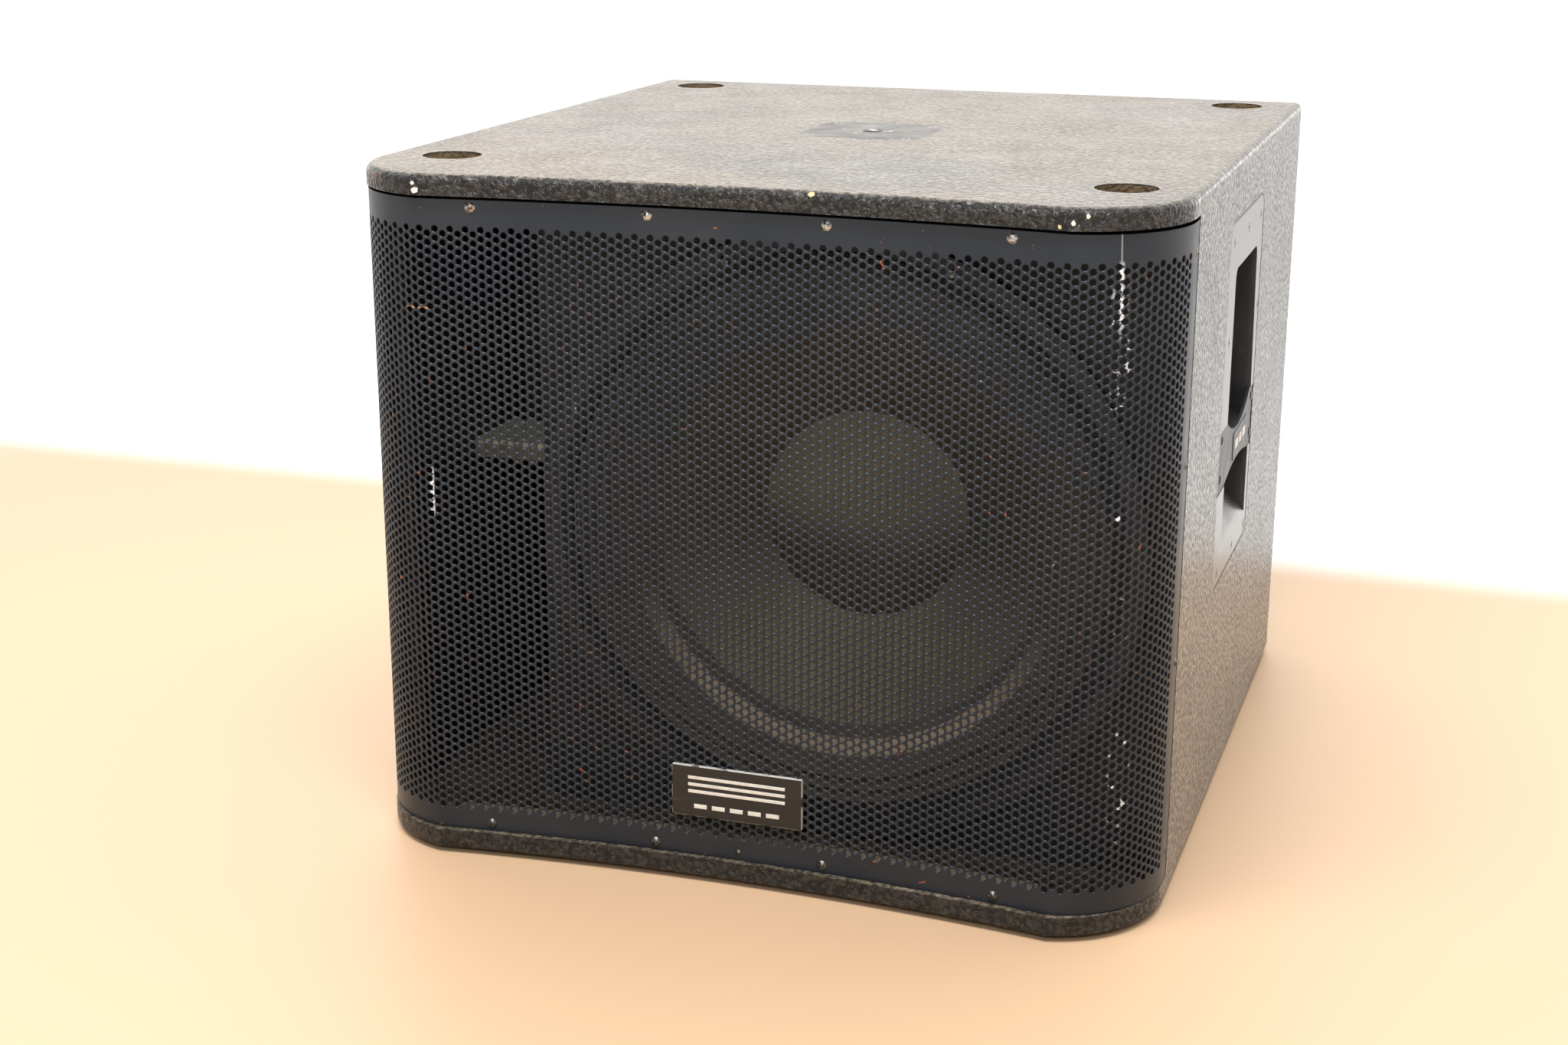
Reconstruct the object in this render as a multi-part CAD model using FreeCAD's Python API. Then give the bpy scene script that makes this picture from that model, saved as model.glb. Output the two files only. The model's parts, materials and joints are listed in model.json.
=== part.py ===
import FreeCAD, Part
import math
import os

# Floor-standing powered 18-inch subwoofer, one STEP file for each piece.
# Millimetres. +Z is up, the grille faces -Y, the amplifier and the casters are on the +Y side.
# The origin is under the middle of the whole object, on the surface that the feet stand on.

V = FreeCAD.Vector
X_AXIS = V(1, 0, 0)
Y_AXIS = V(0, 1, 0)
Z_AXIS = V(0, 0, 1)

# ---- cabinet -------------------------------------------------------------------------------------
WIDTH = 607.0
BOX_HEIGHT = 513.0
BODY_DEPTH = 674.0
CASTER_HEIGHT = 108.0
FOOT_HEIGHT = 4.0
PLY = 15.0

Y_FRONT = -(BODY_DEPTH + CASTER_HEIGHT) / 2      # the front rim's two creases
Y_BACK = Y_FRONT + BODY_DEPTH                    # the rear face of the plywood box
Z_LOW = FOOT_HEIGHT
Z_HIGH = FOOT_HEIGHT + BOX_HEIGHT
Z_FLOOR = Z_LOW + PLY                            # top of the bottom panel
Z_CEILING = Z_HIGH - PLY                         # underside of the top panel
X_WALL = WIDTH / 2
X_INNER = X_WALL - PLY

CREASE_X = 235.0                                 # where the bowed front meets the corner curves
CORNER_END_Y = -307.0                            # where the corner curves meet the straight sides
FRONT_BOW = 15.0                                 # how far the middle of the front is set back
EDGE_ROUND = 6.0
REAR_CORNER_ROUND = 6.0

# ---- front grille --------------------------------------------------------------------------------
GRILLE_SET_BACK = 5.0
GRILLE_SHEET = 1.2
GRILLE_SIDE_INSET = 0.3
GRILLE_SEAM_Y = -295.0
SIDE_PANEL_FRONT_Y = -307.0
GRILLE_GAP = 0.5
BATTEN_DEPTH = 16.0
BATTEN_HALF_LENGTH = 225.0
TOP_BATTEN_HEIGHT = 18.0
LOW_BATTEN_HEIGHT = 14.0
GRILLE_SCREW_XS = (-194.7, -64.9, 64.9, 194.7)
GRILLE_SCREW_TOP_Z = 494.0
GRILLE_SCREW_LOW_Z = 25.0
GRILLE_SIDE_SCREW_Y = -302.5
GRILLE_SIDE_SCREW_ZS = (41.7, 186.3, 330.0, 477.7)
BADGE_SIZE = (101.0, 2.5, 40.0)
BADGE_Z = 71.0
BADGE_CORNER = 1.5

# ---- baffle and port -----------------------------------------------------------------------------
BAFFLE_Y = -301.0
BAFFLE_THICK = 18.0
PORT_EDGE_X = -179.0
DIVIDER_END_Y = 130.0
BRACE_Z = 259.0
BRACE_Y = (-196.0, -126.0)

# ---- woofer, measured from its axis and from the baffle's front face -----------------------------
WOOFER_X = 53.0
WOOFER_Z = 251.0
FLANGE_R = 230.0
FLANGE_INNER_R = 204.0
FLANGE_THICK = 8.0
CUTOUT_R = 212.5
BOLT_CIRCLE_R = 219.5
BOLT_COUNT = 8
BOLT_R = 2.5
STEP_R = 212.0                                   # the step in the flange that the surround is glued to
STEP_D = -3.0
TUB_R = 118.0                                    # the tub behind the windows
TUB_WALL = 6.0
LEDGE_R = 104.0                                  # inside of the ledge that carries the spider
SEAT_BORE_R = 60.0
WINDOW_RADII = (134.0, 196.0)
WINDOW_HALF_WIDTHS = (13.0, 34.0)
SURROUND_OUTER_R = 211.0
SURROUND_INNER_R = 177.0
SURROUND_RISE = 6.0
CLOTH = 1.6
GASKET_INNER_R = 206.0
GASKET_STAND = 2.5
CONE_R = 181.0
CONE_RIM_D = -2.8
CONE_DEPTH = 100.0
CONE_WALL = 1.6
COIL_R = 50.0
COIL_WALL = 1.3
DUST_CAP_R = 80.0
DUST_CAP_RISE = 26.0
DUST_CAP_WALL = 1.2
COIL_START_D = 99.0                              # front of the coil former
FORMER_LENGTH = 58.0
WINDING = (136.0, 20.0, 0.9)                     # depth, length and thickness
GAP_AROUND_WINDING = 1.0
SPIDER_D = 106.0
SPIDER_WAVES = 5
SPIDER_WAVE = 2.2
SPIDER_LIFT = 5.0
SPIDER_CLOTH = 0.9
SEAT_D = 134.0
TOP_PLATE_D = 140.0
MAGNET_D = 150.0
YOKE_D = 172.0
YOKE_END_D = 184.0
PLATE_R = 105.0
MAGNET_R = 110.0
POLE_GAP = 0.8
VENT_R = 14.0
TERMINAL_D = 123.0
POST_X = 9.0
POST_R = 3.5
POST_LENGTH = 12.0

# ---- side handles --------------------------------------------------------------------------------
HANDLE_Y = (-135.0, 50.0)
HANDLE_Z = (184.0, 471.0)
HANDLE_CORNER = 18.0
HANDLE_SHEET = 3.0
HANDLE_INSET = 0.2
CUP_Y = (-96.0, 36.0)
CUP_TOP_Y = 22.0
CUP_Z = (205.0, 431.0)
CUP_SLANT_Z = 300.0
CUP_DEPTH = 65.0
CUP_WALL = 3.0
CUP_BACK_ROUND = 14.0
CUP_CORNER = 9.0
CUP_MOUTH_ANGLE = 45.0
BRIDGE_Z = (261.0, 311.0)
BRIDGE_WAIST_Z = (268.0, 295.0)
GRIP_Y = (-93.5, 33.5)
GRIP_DEPTH = 26.0
GRIP_ROUND = 10.0
PAD_Y = (-54.0, 22.0)
PAD_Z = (270.0, 292.5)
PAD_RAISE = 0.6
HANDLE_SCREW_YZ = (
    (-114.0, 454.0), (-36.0, 454.0), (34.0, 454.0),
    (-116.0, 378.0), (44.0, 378.0),
    (-116.0, 302.0), (44.0, 302.0), (-116.0, 271.0), (44.0, 271.0),
    (-111.0, 194.0), (-30.0, 194.0), (36.0, 194.0))

# ---- feet, stacking sockets and pole socket ------------------------------------------------------
FOOT_X = 252.0
FOOT_YS = (-291.0, 234.0)
FOOT_R = 19.0
FOOT_CHAMFER = 0.8
FOOT_SCREW_OFFSET = 9.0
FOOT_RECESS_R = 4.6
FOOT_RECESS_DEPTH = 2.6
FOOT_SCREW_LENGTH = 11.0
SOCKET_R = 22.0
SOCKET_DEPTH = 8.5
POLE_Y = -46.0
POLE_PLATE = 104.0
POLE_PLATE_THICK = 3.0
POLE_PLATE_BULGE = 4.0
POLE_HOLE_R = 10.0
POLE_SLEEVE_R = 19.0
POLE_SLEEVE_LENGTH = 62.0
POLE_SCREW_OFFSET = 40.0

# ---- amplifier on the rear panel -----------------------------------------------------------------
AMP_HALF_WIDTH = 150.0
AMP_Z = (90.0, 450.0)
AMP_SHEET = 3.0
AMP_CUT_HALF_WIDTH = 136.0
AMP_CUT_Z = (104.0, 436.0)
AMP_SCREW_XS = (-143.0, 0.0, 143.0)
AMP_SCREW_ZS = (97.0, 183.0, 357.0, 443.0)
SINK_HALF_WIDTH = 122.0
SINK_Z = (196.0, 286.0)
SINK_BASE = 5.0
SINK_FIN_HEIGHT = 20.0
SINK_FIN_COUNT = 16
SINK_FIN_THICK = 2.4
FAN_X = 84.0
FAN_Z = 144.0
FAN_SIZE = 76.0
FAN_DEPTH = 25.0
FAN_DUCT_R = 35.0
FAN_BLADE_R = 33.5
FAN_HUB_R = 14.0
FAN_BLADES = 7
FAN_STRUTS = 3
FAN_SHAFT_R = 1.5
ROTOR_START = 4.0                                # from the back of the housing
ROTOR_LENGTH = 17.0
BLADE_THICK = 1.6
BLADE_PITCH = 50.0
VENT_RADII = (14.0, 22.0, 30.0)
VENT_HALF = 2.4
VENT_SPOKES = 4
KNOB_X = 0.0
KNOB_Z = 398.0
KNOB_R = 11.0
KNOB_HEIGHT = 16.0
KNOB_SHAFT_R = 3.0
KNOB_FLUTES = 18
KNOB_FLUTE_R = 1.1
KNOB_GROOVE = (0.6, 0.8)                         # half its width, and its depth
RUNNING_GAP = 0.05
JACK_XS = (62.0, 104.0)
JACK_Z = 325.0
JACK_R = 12.0
JACK_SOCKET_R = 10.5
JACK_SOCKET_DEPTH = 16.0
JACK_FLANGE = (26.0, 31.0)
LED_XS = (56.0, 72.0, 88.0, 104.0)
LED_Z = 412.0
LED_R = 2.5
SWITCH_ZS = {"mode_switch": 412.0, "front_light_switch": 382.0}
SWITCH_X = -84.0
SWITCH_TRAVEL = 6.0
INLET_X = -92.0
INLET_Z = 144.0
INLET_SIZE = (48.0, 30.0)
INLET_BODY = (30.0, 22.0)
INLET_HOLE = (24.0, 16.5)
ROCKER_X = -36.0
ROCKER_Z = 144.0
BEZEL_SIZE = (26.0, 38.0)
BEZEL_BODY = (22.0, 34.0)
ROCKER_SIZE = (17.0, 27.0)
ROCKER_TILT = 10.0
ROCKER_VEE = 2.2
ROCKER_PIN_R = 1.5
ROCKER_PIN_REACH = 10.0
ROCKER_PIVOT_INSET = 4.0
BOARD_Y = 238.0
BOARD_X = (-122.0, 122.0)
BOARD_Z = (196.0, 432.0)
BOARD_THICK = 1.6
PILLAR_R = 4.0
PILLAR_INSET = 8.0
CABLE_R = 3.0

# ---- casters -------------------------------------------------------------------------------------
CASTER_X = 235.0
CASTER_ZS = {"upper": 445.0, "lower": 75.0}
CASTER_SIDES = {"left": -1, "right": 1}
CASTER_PLATE = (92.0, 72.0)
CASTER_SCREW_OFFSET = (37.0, 27.0)
WHEEL_R = 40.0
WHEEL_HALF_WIDTH = 12.5
WHEEL_TRAIL = 27.0
AXLE_R = 4.0
FORK_GAP_HALF = 15.5
FORK_SHEET = 3.0
RACE_R = 22.0
RACE_HEIGHT = 8.0
CASTER_SHEET = 3.0
KING_PIN_R = 5.0
KING_PIN_REACH = 17.0
CROWN_GAP = 0.4
CROWN_THICK = 4.0
BOSS_R = 10.0
AXLE_HEAD = (7.0, 4.0)
TREAD_ROUND = 5.0
WHEEL_DISH = 4.0
DISH_RADII = (29.0, 11.0)
HUB_R = 9.0


# ---- small tools ---------------------------------------------------------------------------------
def block(xs, ys, zs):
    """A box between two values on each axis."""
    return Part.makeBox(xs[1] - xs[0], ys[1] - ys[0], zs[1] - zs[0], V(xs[0], ys[0], zs[0]))


def rod(start, end, radius):
    """A cylinder from one point to another."""
    line = end - start
    return Part.makeCylinder(radius, line.Length, start, line)


def ring(centre, axis, outer, inner, length):
    """A tube that starts at centre and runs along axis."""
    body = Part.makeCylinder(outer, length, centre, axis)
    return body.cut(Part.makeCylinder(inner, length, centre, axis))


def prism(points, direction):
    """A closed outline of points, pushed along a direction."""
    edges = Part.makePolygon(points + [points[0]])
    return Part.Face(edges).extrude(direction)


def spin_about_woofer(profile):
    """Turn a closed profile of (radius, depth behind the baffle's face) about the woofer's axis."""
    points = [V(WOOFER_X + radius, BAFFLE_Y + depth, WOOFER_Z) for radius, depth in profile]
    face = Part.Face(Part.makePolygon(points + [points[0]]))
    return face.revolve(V(WOOFER_X, 0, WOOFER_Z), Y_AXIS, 360)


def woofer_point(radius, angle_deg, depth):
    """A point at a radius, an angle and a depth behind the baffle's face."""
    angle = math.radians(angle_deg)
    return V(WOOFER_X + radius * math.cos(angle), BAFFLE_Y + depth, WOOFER_Z + radius * math.sin(angle))


def rounded_slab_xz(centre_x, centre_z, width, height, corner, y_start, y_end):
    """A rounded rectangle in X and Z, pushed along Y."""
    slab = block((centre_x - width / 2, centre_x + width / 2), (y_start, y_end),
                 (centre_z - height / 2, centre_z + height / 2))
    return slab.makeFillet(corner, edges_along(slab, Y_AXIS))


def edges_along(shape, axis):
    """The straight edges of a shape that run along an axis."""
    found = []
    for edge in shape.Edges:
        run = edge.Vertexes[-1].Point - edge.Vertexes[0].Point
        if run.Length > 0 and abs(abs(run.normalize().dot(axis)) - 1) < 1e-6:
            found.append(edge)
    return found


def aim(shape, point, outward):
    """Move a shape made along +Z at the origin to a point, with its +Z turned to outward."""
    shape.Placement = FreeCAD.Placement(point, FreeCAD.Rotation(Z_AXIS, outward))
    return shape


def cross_slot(width, span, depth, top):
    """The cross recess of a screw head, its mouth at height top."""
    one = Part.makeBox(width, span, depth, V(-width / 2, -span / 2, top - depth))
    other = Part.makeBox(span, width, depth, V(-span / 2, -width / 2, top - depth))
    return one.fuse(other)


def pan_screw(point, outward, head_r=4.0, head_h=2.2, shank_r=2.0, shank=14.0):
    """A cross-head screw with a domed head that stands on the surface at point."""
    ball_r = (head_r ** 2 + head_h ** 2) / (2 * head_h)
    dome = Part.makeSphere(ball_r, V(0, 0, head_h - ball_r))
    dome = dome.common(Part.makeCylinder(head_r, head_h))
    body = dome.fuse(Part.makeCylinder(shank_r, shank, V(0, 0, -shank)))
    return aim(body.cut(cross_slot(1.0, 4.4, 1.3, head_h)), point, outward)


def flat_screw(point, outward, head_r=3.8, head_h=2.4, shank_r=2.0, shank=14.0):
    """A countersunk cross-head screw, its flat head level with the surface at point."""
    head = Part.makeCone(shank_r, head_r, head_h, V(0, 0, -head_h))
    body = head.fuse(Part.makeCylinder(shank_r, shank - head_h, V(0, 0, -shank)))
    return aim(body.cut(cross_slot(0.9, 4.0, 1.2, 0.0)), point, outward)


def pan_hole(point, outward, shank=14.0, radius=2.0):
    """The hole for a pan-head screw's shank."""
    return aim(Part.makeCylinder(radius, shank, V(0, 0, -shank)), point, outward)


def flat_hole(point, outward, head_r=3.8, head_h=2.4, shank_r=2.0, shank=14.0):
    """The countersunk hole for a flat screw, open at the surface."""
    head = Part.makeCone(shank_r, head_r, head_h, V(0, 0, -head_h))
    return aim(head.fuse(Part.makeCylinder(shank_r, shank, V(0, 0, -shank))), point, outward)


def mirrored(shape):
    """The same piece on the other side of the cabinet."""
    return shape.mirror(V(0, 0, 0), X_AXIS)


# ---- the bowed front outline ---------------------------------------------------------------------
def corner_circle(half_width, crease_y):
    """Centre and radius of the right corner curve, tangent to the side wall."""
    rise = CORNER_END_Y - crease_y
    run = half_width - CREASE_X
    radius = (run ** 2 + rise ** 2) / (2 * run)
    return V(half_width - radius, CORNER_END_Y, 0), radius


def bow_circle(crease_y):
    """Centre and radius of the shallow curve across the front, its centre out in front."""
    radius = (CREASE_X ** 2 + FRONT_BOW ** 2) / (2 * FRONT_BOW)
    return V(0, crease_y + FRONT_BOW - radius, 0), radius


def crossing(centre_a, radius_a, centre_b, radius_b):
    """Where two circles cross, the point with the larger X."""
    between = centre_b - centre_a
    gap = between.Length
    along = (gap ** 2 + radius_a ** 2 - radius_b ** 2) / (2 * gap)
    across = math.sqrt(radius_a ** 2 - along ** 2)
    middle = centre_a + between * (along / gap)
    side = V(-between.y, between.x, 0) * (across / gap)
    return max(middle + side, middle - side, key=lambda point: point.x)


def front_curves(half_width, crease_y, inward):
    """Edges of the front line from right to left, moved inward from the outer face by a distance."""
    corner, corner_r = corner_circle(half_width, crease_y)
    bow, bow_r = bow_circle(crease_y)
    crease = crossing(corner, corner_r - inward, bow, bow_r + inward)
    start = V(half_width - inward, CORNER_END_Y, 0)
    direction = ((crease - corner).normalize() + X_AXIS).normalize()
    middle_of_corner = corner + direction * (corner_r - inward)
    bow_middle = V(0, bow.y + bow_r + inward, 0)

    def flip(point):
        return V(-point.x, point.y, 0)

    return [Part.Arc(start, middle_of_corner, crease).toShape(),
            Part.Arc(crease, bow_middle, flip(crease)).toShape(),
            Part.Arc(flip(crease), flip(middle_of_corner), flip(start)).toShape()], start


def bow_y(x, crease_y):
    """Y of the bowed front face at a given X."""
    centre, radius = bow_circle(crease_y)
    return centre.y + math.sqrt(radius ** 2 - x ** 2)


def bow_normal(x, crease_y):
    """Outward normal of the bowed front face at a given X."""
    centre, radius = bow_circle(crease_y)
    return (centre - V(x, bow_y(x, crease_y), 0)).normalize()


GRILLE_CREASE_Y = Y_FRONT + GRILLE_SET_BACK
GRILLE_HALF_WIDTH = X_WALL - GRILLE_SIDE_INSET


def grille_screws_front():
    """Places and directions of the eight front screws and the small middle one."""
    places = []
    for x in GRILLE_SCREW_XS:
        for z in (GRILLE_SCREW_LOW_Z, GRILLE_SCREW_TOP_Z):
            places.append((V(x, bow_y(x, GRILLE_CREASE_Y), z), bow_normal(x, GRILLE_CREASE_Y)))
    return places


def grille_middle_screw():
    """The small screw under the badge."""
    return V(0, bow_y(0, GRILLE_CREASE_Y), GRILLE_SCREW_LOW_Z), V(0, -1, 0)


def grille_screws_side():
    """Places and directions of the eight screws in the grille's side flanges."""
    return [(V(side * GRILLE_HALF_WIDTH, GRILLE_SIDE_SCREW_Y, z), V(side, 0, 0))
            for side in (-1, 1) for z in GRILLE_SIDE_SCREW_ZS]


def grille_holes():
    """Holes for all the grille's screws."""
    wide = [pan_hole(point, out) for point, out in grille_screws_front() + grille_screws_side()]
    point, out = grille_middle_screw()
    return wide + [pan_hole(point, out, 10.0, 1.2)]


# ---- cabinet -------------------------------------------------------------------------------------
def cabinet_slab(z_start, z_end):
    """A full-size slab with the cabinet's outline."""
    curves, start = front_curves(X_WALL, Y_FRONT, 0)
    round_r = REAR_CORNER_ROUND
    diagonal = round_r * (1 - math.sqrt(0.5))
    right_end = V(X_WALL, Y_BACK - round_r, 0)
    right_mid = V(X_WALL - diagonal, Y_BACK - diagonal, 0)
    back_right = V(X_WALL - round_r, Y_BACK, 0)
    left = [V(-point.x, point.y, 0) for point in (start, right_end, right_mid, back_right)]
    edges = curves + [
        Part.makeLine(left[0], left[1]), Part.Arc(left[1], left[2], left[3]).toShape(),
        Part.makeLine(left[3], back_right), Part.Arc(back_right, right_mid, right_end).toShape(),
        Part.makeLine(right_end, start)]
    wire = Part.Wire(Part.__sortEdges__(edges))
    slab = Part.Face(wire).extrude(V(0, 0, z_end - z_start))
    slab.translate(V(0, 0, z_start))
    return slab


def edges_at_height(shape, z):
    """Edges of a shape that lie in a level plane."""
    return [edge for edge in shape.Edges
            if abs(edge.BoundBox.ZMin - z) < 1e-4 and abs(edge.BoundBox.ZMax - z) < 1e-4]


def foot_spots():
    """The four corners that hold feet below and sockets above."""
    return [(x, y) for x in (-FOOT_X, FOOT_X) for y in FOOT_YS]


def foot_screw_points(z):
    """Two screws through each foot, at a height."""
    return [V(x, y + side * FOOT_SCREW_OFFSET, z) for x, y in foot_spots() for side in (-1, 1)]


def top_panel():
    slab = cabinet_slab(Z_CEILING, Z_HIGH)
    slab = slab.makeFillet(EDGE_ROUND, edges_at_height(slab, Z_HIGH))
    tools = [Part.makeCylinder(SOCKET_R, SOCKET_DEPTH, V(x, y, Z_HIGH - SOCKET_DEPTH))
             for x, y in foot_spots()]
    tools.append(pole_plate_blank())
    tools.append(Part.makeCylinder(POLE_SLEEVE_R, PLY, V(0, POLE_Y, Z_CEILING)))
    tools += [flat_hole(point, Z_AXIS) for point in pole_screw_points()]
    return slab.cut(tools)


def bottom_panel():
    slab = cabinet_slab(Z_LOW, Z_FLOOR)
    slab = slab.makeFillet(EDGE_ROUND / 2, edges_at_height(slab, Z_LOW))
    return slab.cut([pan_hole(point, -Z_AXIS, FOOT_SCREW_LENGTH) for point in foot_screw_points(Z_LOW)])


def right_panel():
    wall = block((X_INNER, X_WALL), (SIDE_PANEL_FRONT_Y, Y_BACK), (Z_FLOOR, Z_CEILING))
    rear_edge = [edge for edge in edges_along(wall, Z_AXIS)
                 if edge.CenterOfMass.x > X_WALL - 1 and edge.CenterOfMass.y > Y_BACK - 1]
    wall = wall.makeFillet(REAR_CORNER_ROUND, rear_edge)
    rebate = block((GRILLE_HALF_WIDTH - GRILLE_SHEET, X_WALL), (SIDE_PANEL_FRONT_Y, GRILLE_SEAM_Y),
                   (Z_FLOOR, Z_CEILING))
    recess = handle_outline(X_WALL - HANDLE_SHEET - HANDLE_INSET, X_WALL, -0.4)
    opening = cup_body(CUP_WALL + 1.0)
    tools = [rebate, recess, opening] + [flat_hole(point, X_AXIS) for point in handle_screw_points()]
    return wall.cut(tools + grille_holes())


def back_panel():
    wall = block((-X_INNER, X_INNER), (Y_BACK - PLY, Y_BACK), (Z_FLOOR, Z_CEILING))
    tools = [block((-AMP_CUT_HALF_WIDTH, AMP_CUT_HALF_WIDTH), (Y_BACK - PLY, Y_BACK), AMP_CUT_Z)]
    tools += [pan_hole(V(point.x, Y_BACK, point.z), Y_AXIS, 12.0) for point in amp_screw_points()]
    tools += [pan_hole(V(point.x, Y_BACK, point.z), Y_AXIS, 12.0) for point in caster_screw_points()]
    return wall.cut(tools)


def front_baffle():
    board = block((PORT_EDGE_X, X_INNER), (BAFFLE_Y, BAFFLE_Y + BAFFLE_THICK), (Z_FLOOR, Z_CEILING))
    tools = [rod(woofer_point(0, 0, 0), woofer_point(0, 0, BAFFLE_THICK), CUTOUT_R)]
    tools += [pan_hole(point, -Y_AXIS, BAFFLE_THICK - 2.0, BOLT_R) for point in woofer_bolt_points(0.0)]
    return board.cut(tools)


def port_divider():
    return block((PORT_EDGE_X, PORT_EDGE_X + PLY), (BAFFLE_Y + BAFFLE_THICK, DIVIDER_END_Y),
                 (Z_FLOOR, Z_CEILING))


def port_brace():
    return block((-X_INNER, PORT_EDGE_X), BRACE_Y, (BRACE_Z, BRACE_Z + PLY))


def grille_battens():
    """Two wooden strips behind the grille that its front screws bite into."""
    bow, bow_r = bow_circle(GRILLE_CREASE_Y)
    near = bow_r + GRILLE_SHEET
    levels = ((Z_CEILING - TOP_BATTEN_HEIGHT, Z_CEILING), (Z_FLOOR, Z_FLOOR + LOW_BATTEN_HEIGHT))
    strips = []
    for low, high in levels:
        sheet = ring(V(0, bow.y, low), Z_AXIS, near + BATTEN_DEPTH, near, high - low)
        window = block((-BATTEN_HALF_LENGTH, BATTEN_HALF_LENGTH), (Y_FRONT, BAFFLE_Y), (low, high))
        strips.append(sheet.common(window).cut(grille_holes()))
    return Part.makeCompound(strips)


def rubber_feet():
    """Four round feet, each with two recessed screws either side of its middle."""
    tools = [Part.makeCylinder(FOOT_RECESS_R, FOOT_RECESS_DEPTH, point) for point in foot_screw_points(0)]
    tools += [pan_hole(point, Z_AXIS, FOOT_HEIGHT) for point in foot_screw_points(Z_LOW)]
    feet = []
    for x, y in foot_spots():
        foot = Part.makeCylinder(FOOT_R, FOOT_HEIGHT, V(x, y, 0))
        feet.append(foot.makeChamfer(FOOT_CHAMFER, edges_at_height(foot, 0)).cut(tools))
    return Part.makeCompound(feet)


def foot_screws():
    return Part.makeCompound([pan_screw(point, -Z_AXIS, head_h=2.0, shank=FOOT_SCREW_LENGTH)
                              for point in foot_screw_points(FOOT_RECESS_DEPTH)])


# ---- grille and badge ----------------------------------------------------------------------------
def front_grille():
    """One bent steel sheet: bowed front, two corner curves and two side flanges."""
    outer, outer_start = front_curves(GRILLE_HALF_WIDTH, GRILLE_CREASE_Y, 0)
    inner, inner_start = front_curves(GRILLE_HALF_WIDTH, GRILLE_CREASE_Y, GRILLE_SHEET)
    lines = []
    for side in (-1, 1):
        starts = [V(side * point.x, point.y, 0) for point in (outer_start, inner_start)]
        ends = [V(point.x, GRILLE_SEAM_Y, 0) for point in starts]
        lines += [Part.makeLine(starts[0], ends[0]), Part.makeLine(ends[0], ends[1]),
                  Part.makeLine(ends[1], starts[1])]
    wire = Part.Wire(Part.__sortEdges__(outer + inner + lines))
    height = Z_CEILING - Z_FLOOR - 2 * GRILLE_GAP
    sheet = Part.Face(wire).extrude(V(0, 0, height))
    sheet.translate(V(0, 0, Z_FLOOR + GRILLE_GAP))
    return sheet.cut(grille_holes())


def grille_screws():
    screws = [pan_screw(point, out) for point, out in grille_screws_front()]
    screws += [pan_screw(point, out, 3.6, 1.2, 2.0, 12.0) for point, out in grille_screws_side()]
    point, out = grille_middle_screw()
    screws.append(pan_screw(point, out, 2.4, 1.4, 1.2, 9.0))
    return Part.makeCompound(screws)


def badge_plate():
    width, thick, height = BADGE_SIZE
    back = bow_y(width / 2, GRILLE_CREASE_Y)
    plate = rounded_slab_xz(0, BADGE_Z, width, height, BADGE_CORNER, back - thick, back)
    front_edges = [edge for edge in plate.Edges
                   if abs(edge.BoundBox.YMax - (back - thick)) < 1e-4]
    return plate.makeChamfer(0.6, front_edges)


# ---- woofer --------------------------------------------------------------------------------------
def woofer_bolt_points(depth):
    step = 360.0 / BOLT_COUNT
    return [woofer_point(BOLT_CIRCLE_R, step * (index + 0.5), depth) for index in range(BOLT_COUNT)]


def woofer_basket():
    """Cast frame: flange, eight-windowed cone, spider ledge and rear seat."""
    rim_outer = CUTOUT_R - 1.0
    shell = spin_about_woofer([
        (FLANGE_R, -FLANGE_THICK), (FLANGE_R, 0), (rim_outer, 0), (rim_outer - 2.5, 26.0),
        (TUB_R + 13.0, SPIDER_D - 4.0), (TUB_R, SPIDER_D), (TUB_R, TOP_PLATE_D),
        (SEAT_BORE_R, TOP_PLATE_D), (SEAT_BORE_R, SEAT_D), (TUB_R - TUB_WALL, SEAT_D),
        (TUB_R - TUB_WALL, SPIDER_D), (LEDGE_R, SPIDER_D), (LEDGE_R, SPIDER_D - 5.0),
        (TUB_R + 9.0, SPIDER_D - 9.0), (FLANGE_INNER_R, 22.0), (FLANGE_INNER_R, STEP_D),
        (STEP_R, STEP_D), (STEP_R, -FLANGE_THICK)])
    inner, outer = WINDOW_RADII
    inner_half, outer_half = WINDOW_HALF_WIDTHS
    windows = []
    for index in range(BOLT_COUNT):
        window = prism([V(inner, -inner_half, 0), V(outer, -outer_half, 0), V(outer, outer_half, 0),
                        V(inner, inner_half, 0)], V(0, 0, SPIDER_D))
        window.Placement = FreeCAD.Placement(woofer_point(0, 0, SEAT_D), FreeCAD.Rotation(X_AXIS, 90))
        window.rotate(woofer_point(0, 0, 0), Y_AXIS, index * 360.0 / BOLT_COUNT)
        windows.append(window)
    holes = [pan_hole(point, -Y_AXIS, FLANGE_THICK, BOLT_R) for point in woofer_bolt_points(-FLANGE_THICK)]
    return shell.cut(windows + holes)


def woofer_gasket():
    """Foam ring in the flange's step that clamps the surround's edge."""
    flange_face = -FLANGE_THICK
    foam_face = flange_face - GASKET_STAND
    cover_r = STEP_R + 2.5
    return spin_about_woofer([
        (STEP_R, flange_face), (cover_r, flange_face), (cover_r, foam_face), (GASKET_INNER_R, foam_face),
        (GASKET_INNER_R, STEP_D - CLOTH), (STEP_R, STEP_D - CLOTH)])


def woofer_screws():
    return Part.makeCompound([pan_screw(point, -Y_AXIS, 4.2, 3.2, BOLT_R, 22.0)
                              for point in woofer_bolt_points(-FLANGE_THICK)])


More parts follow.
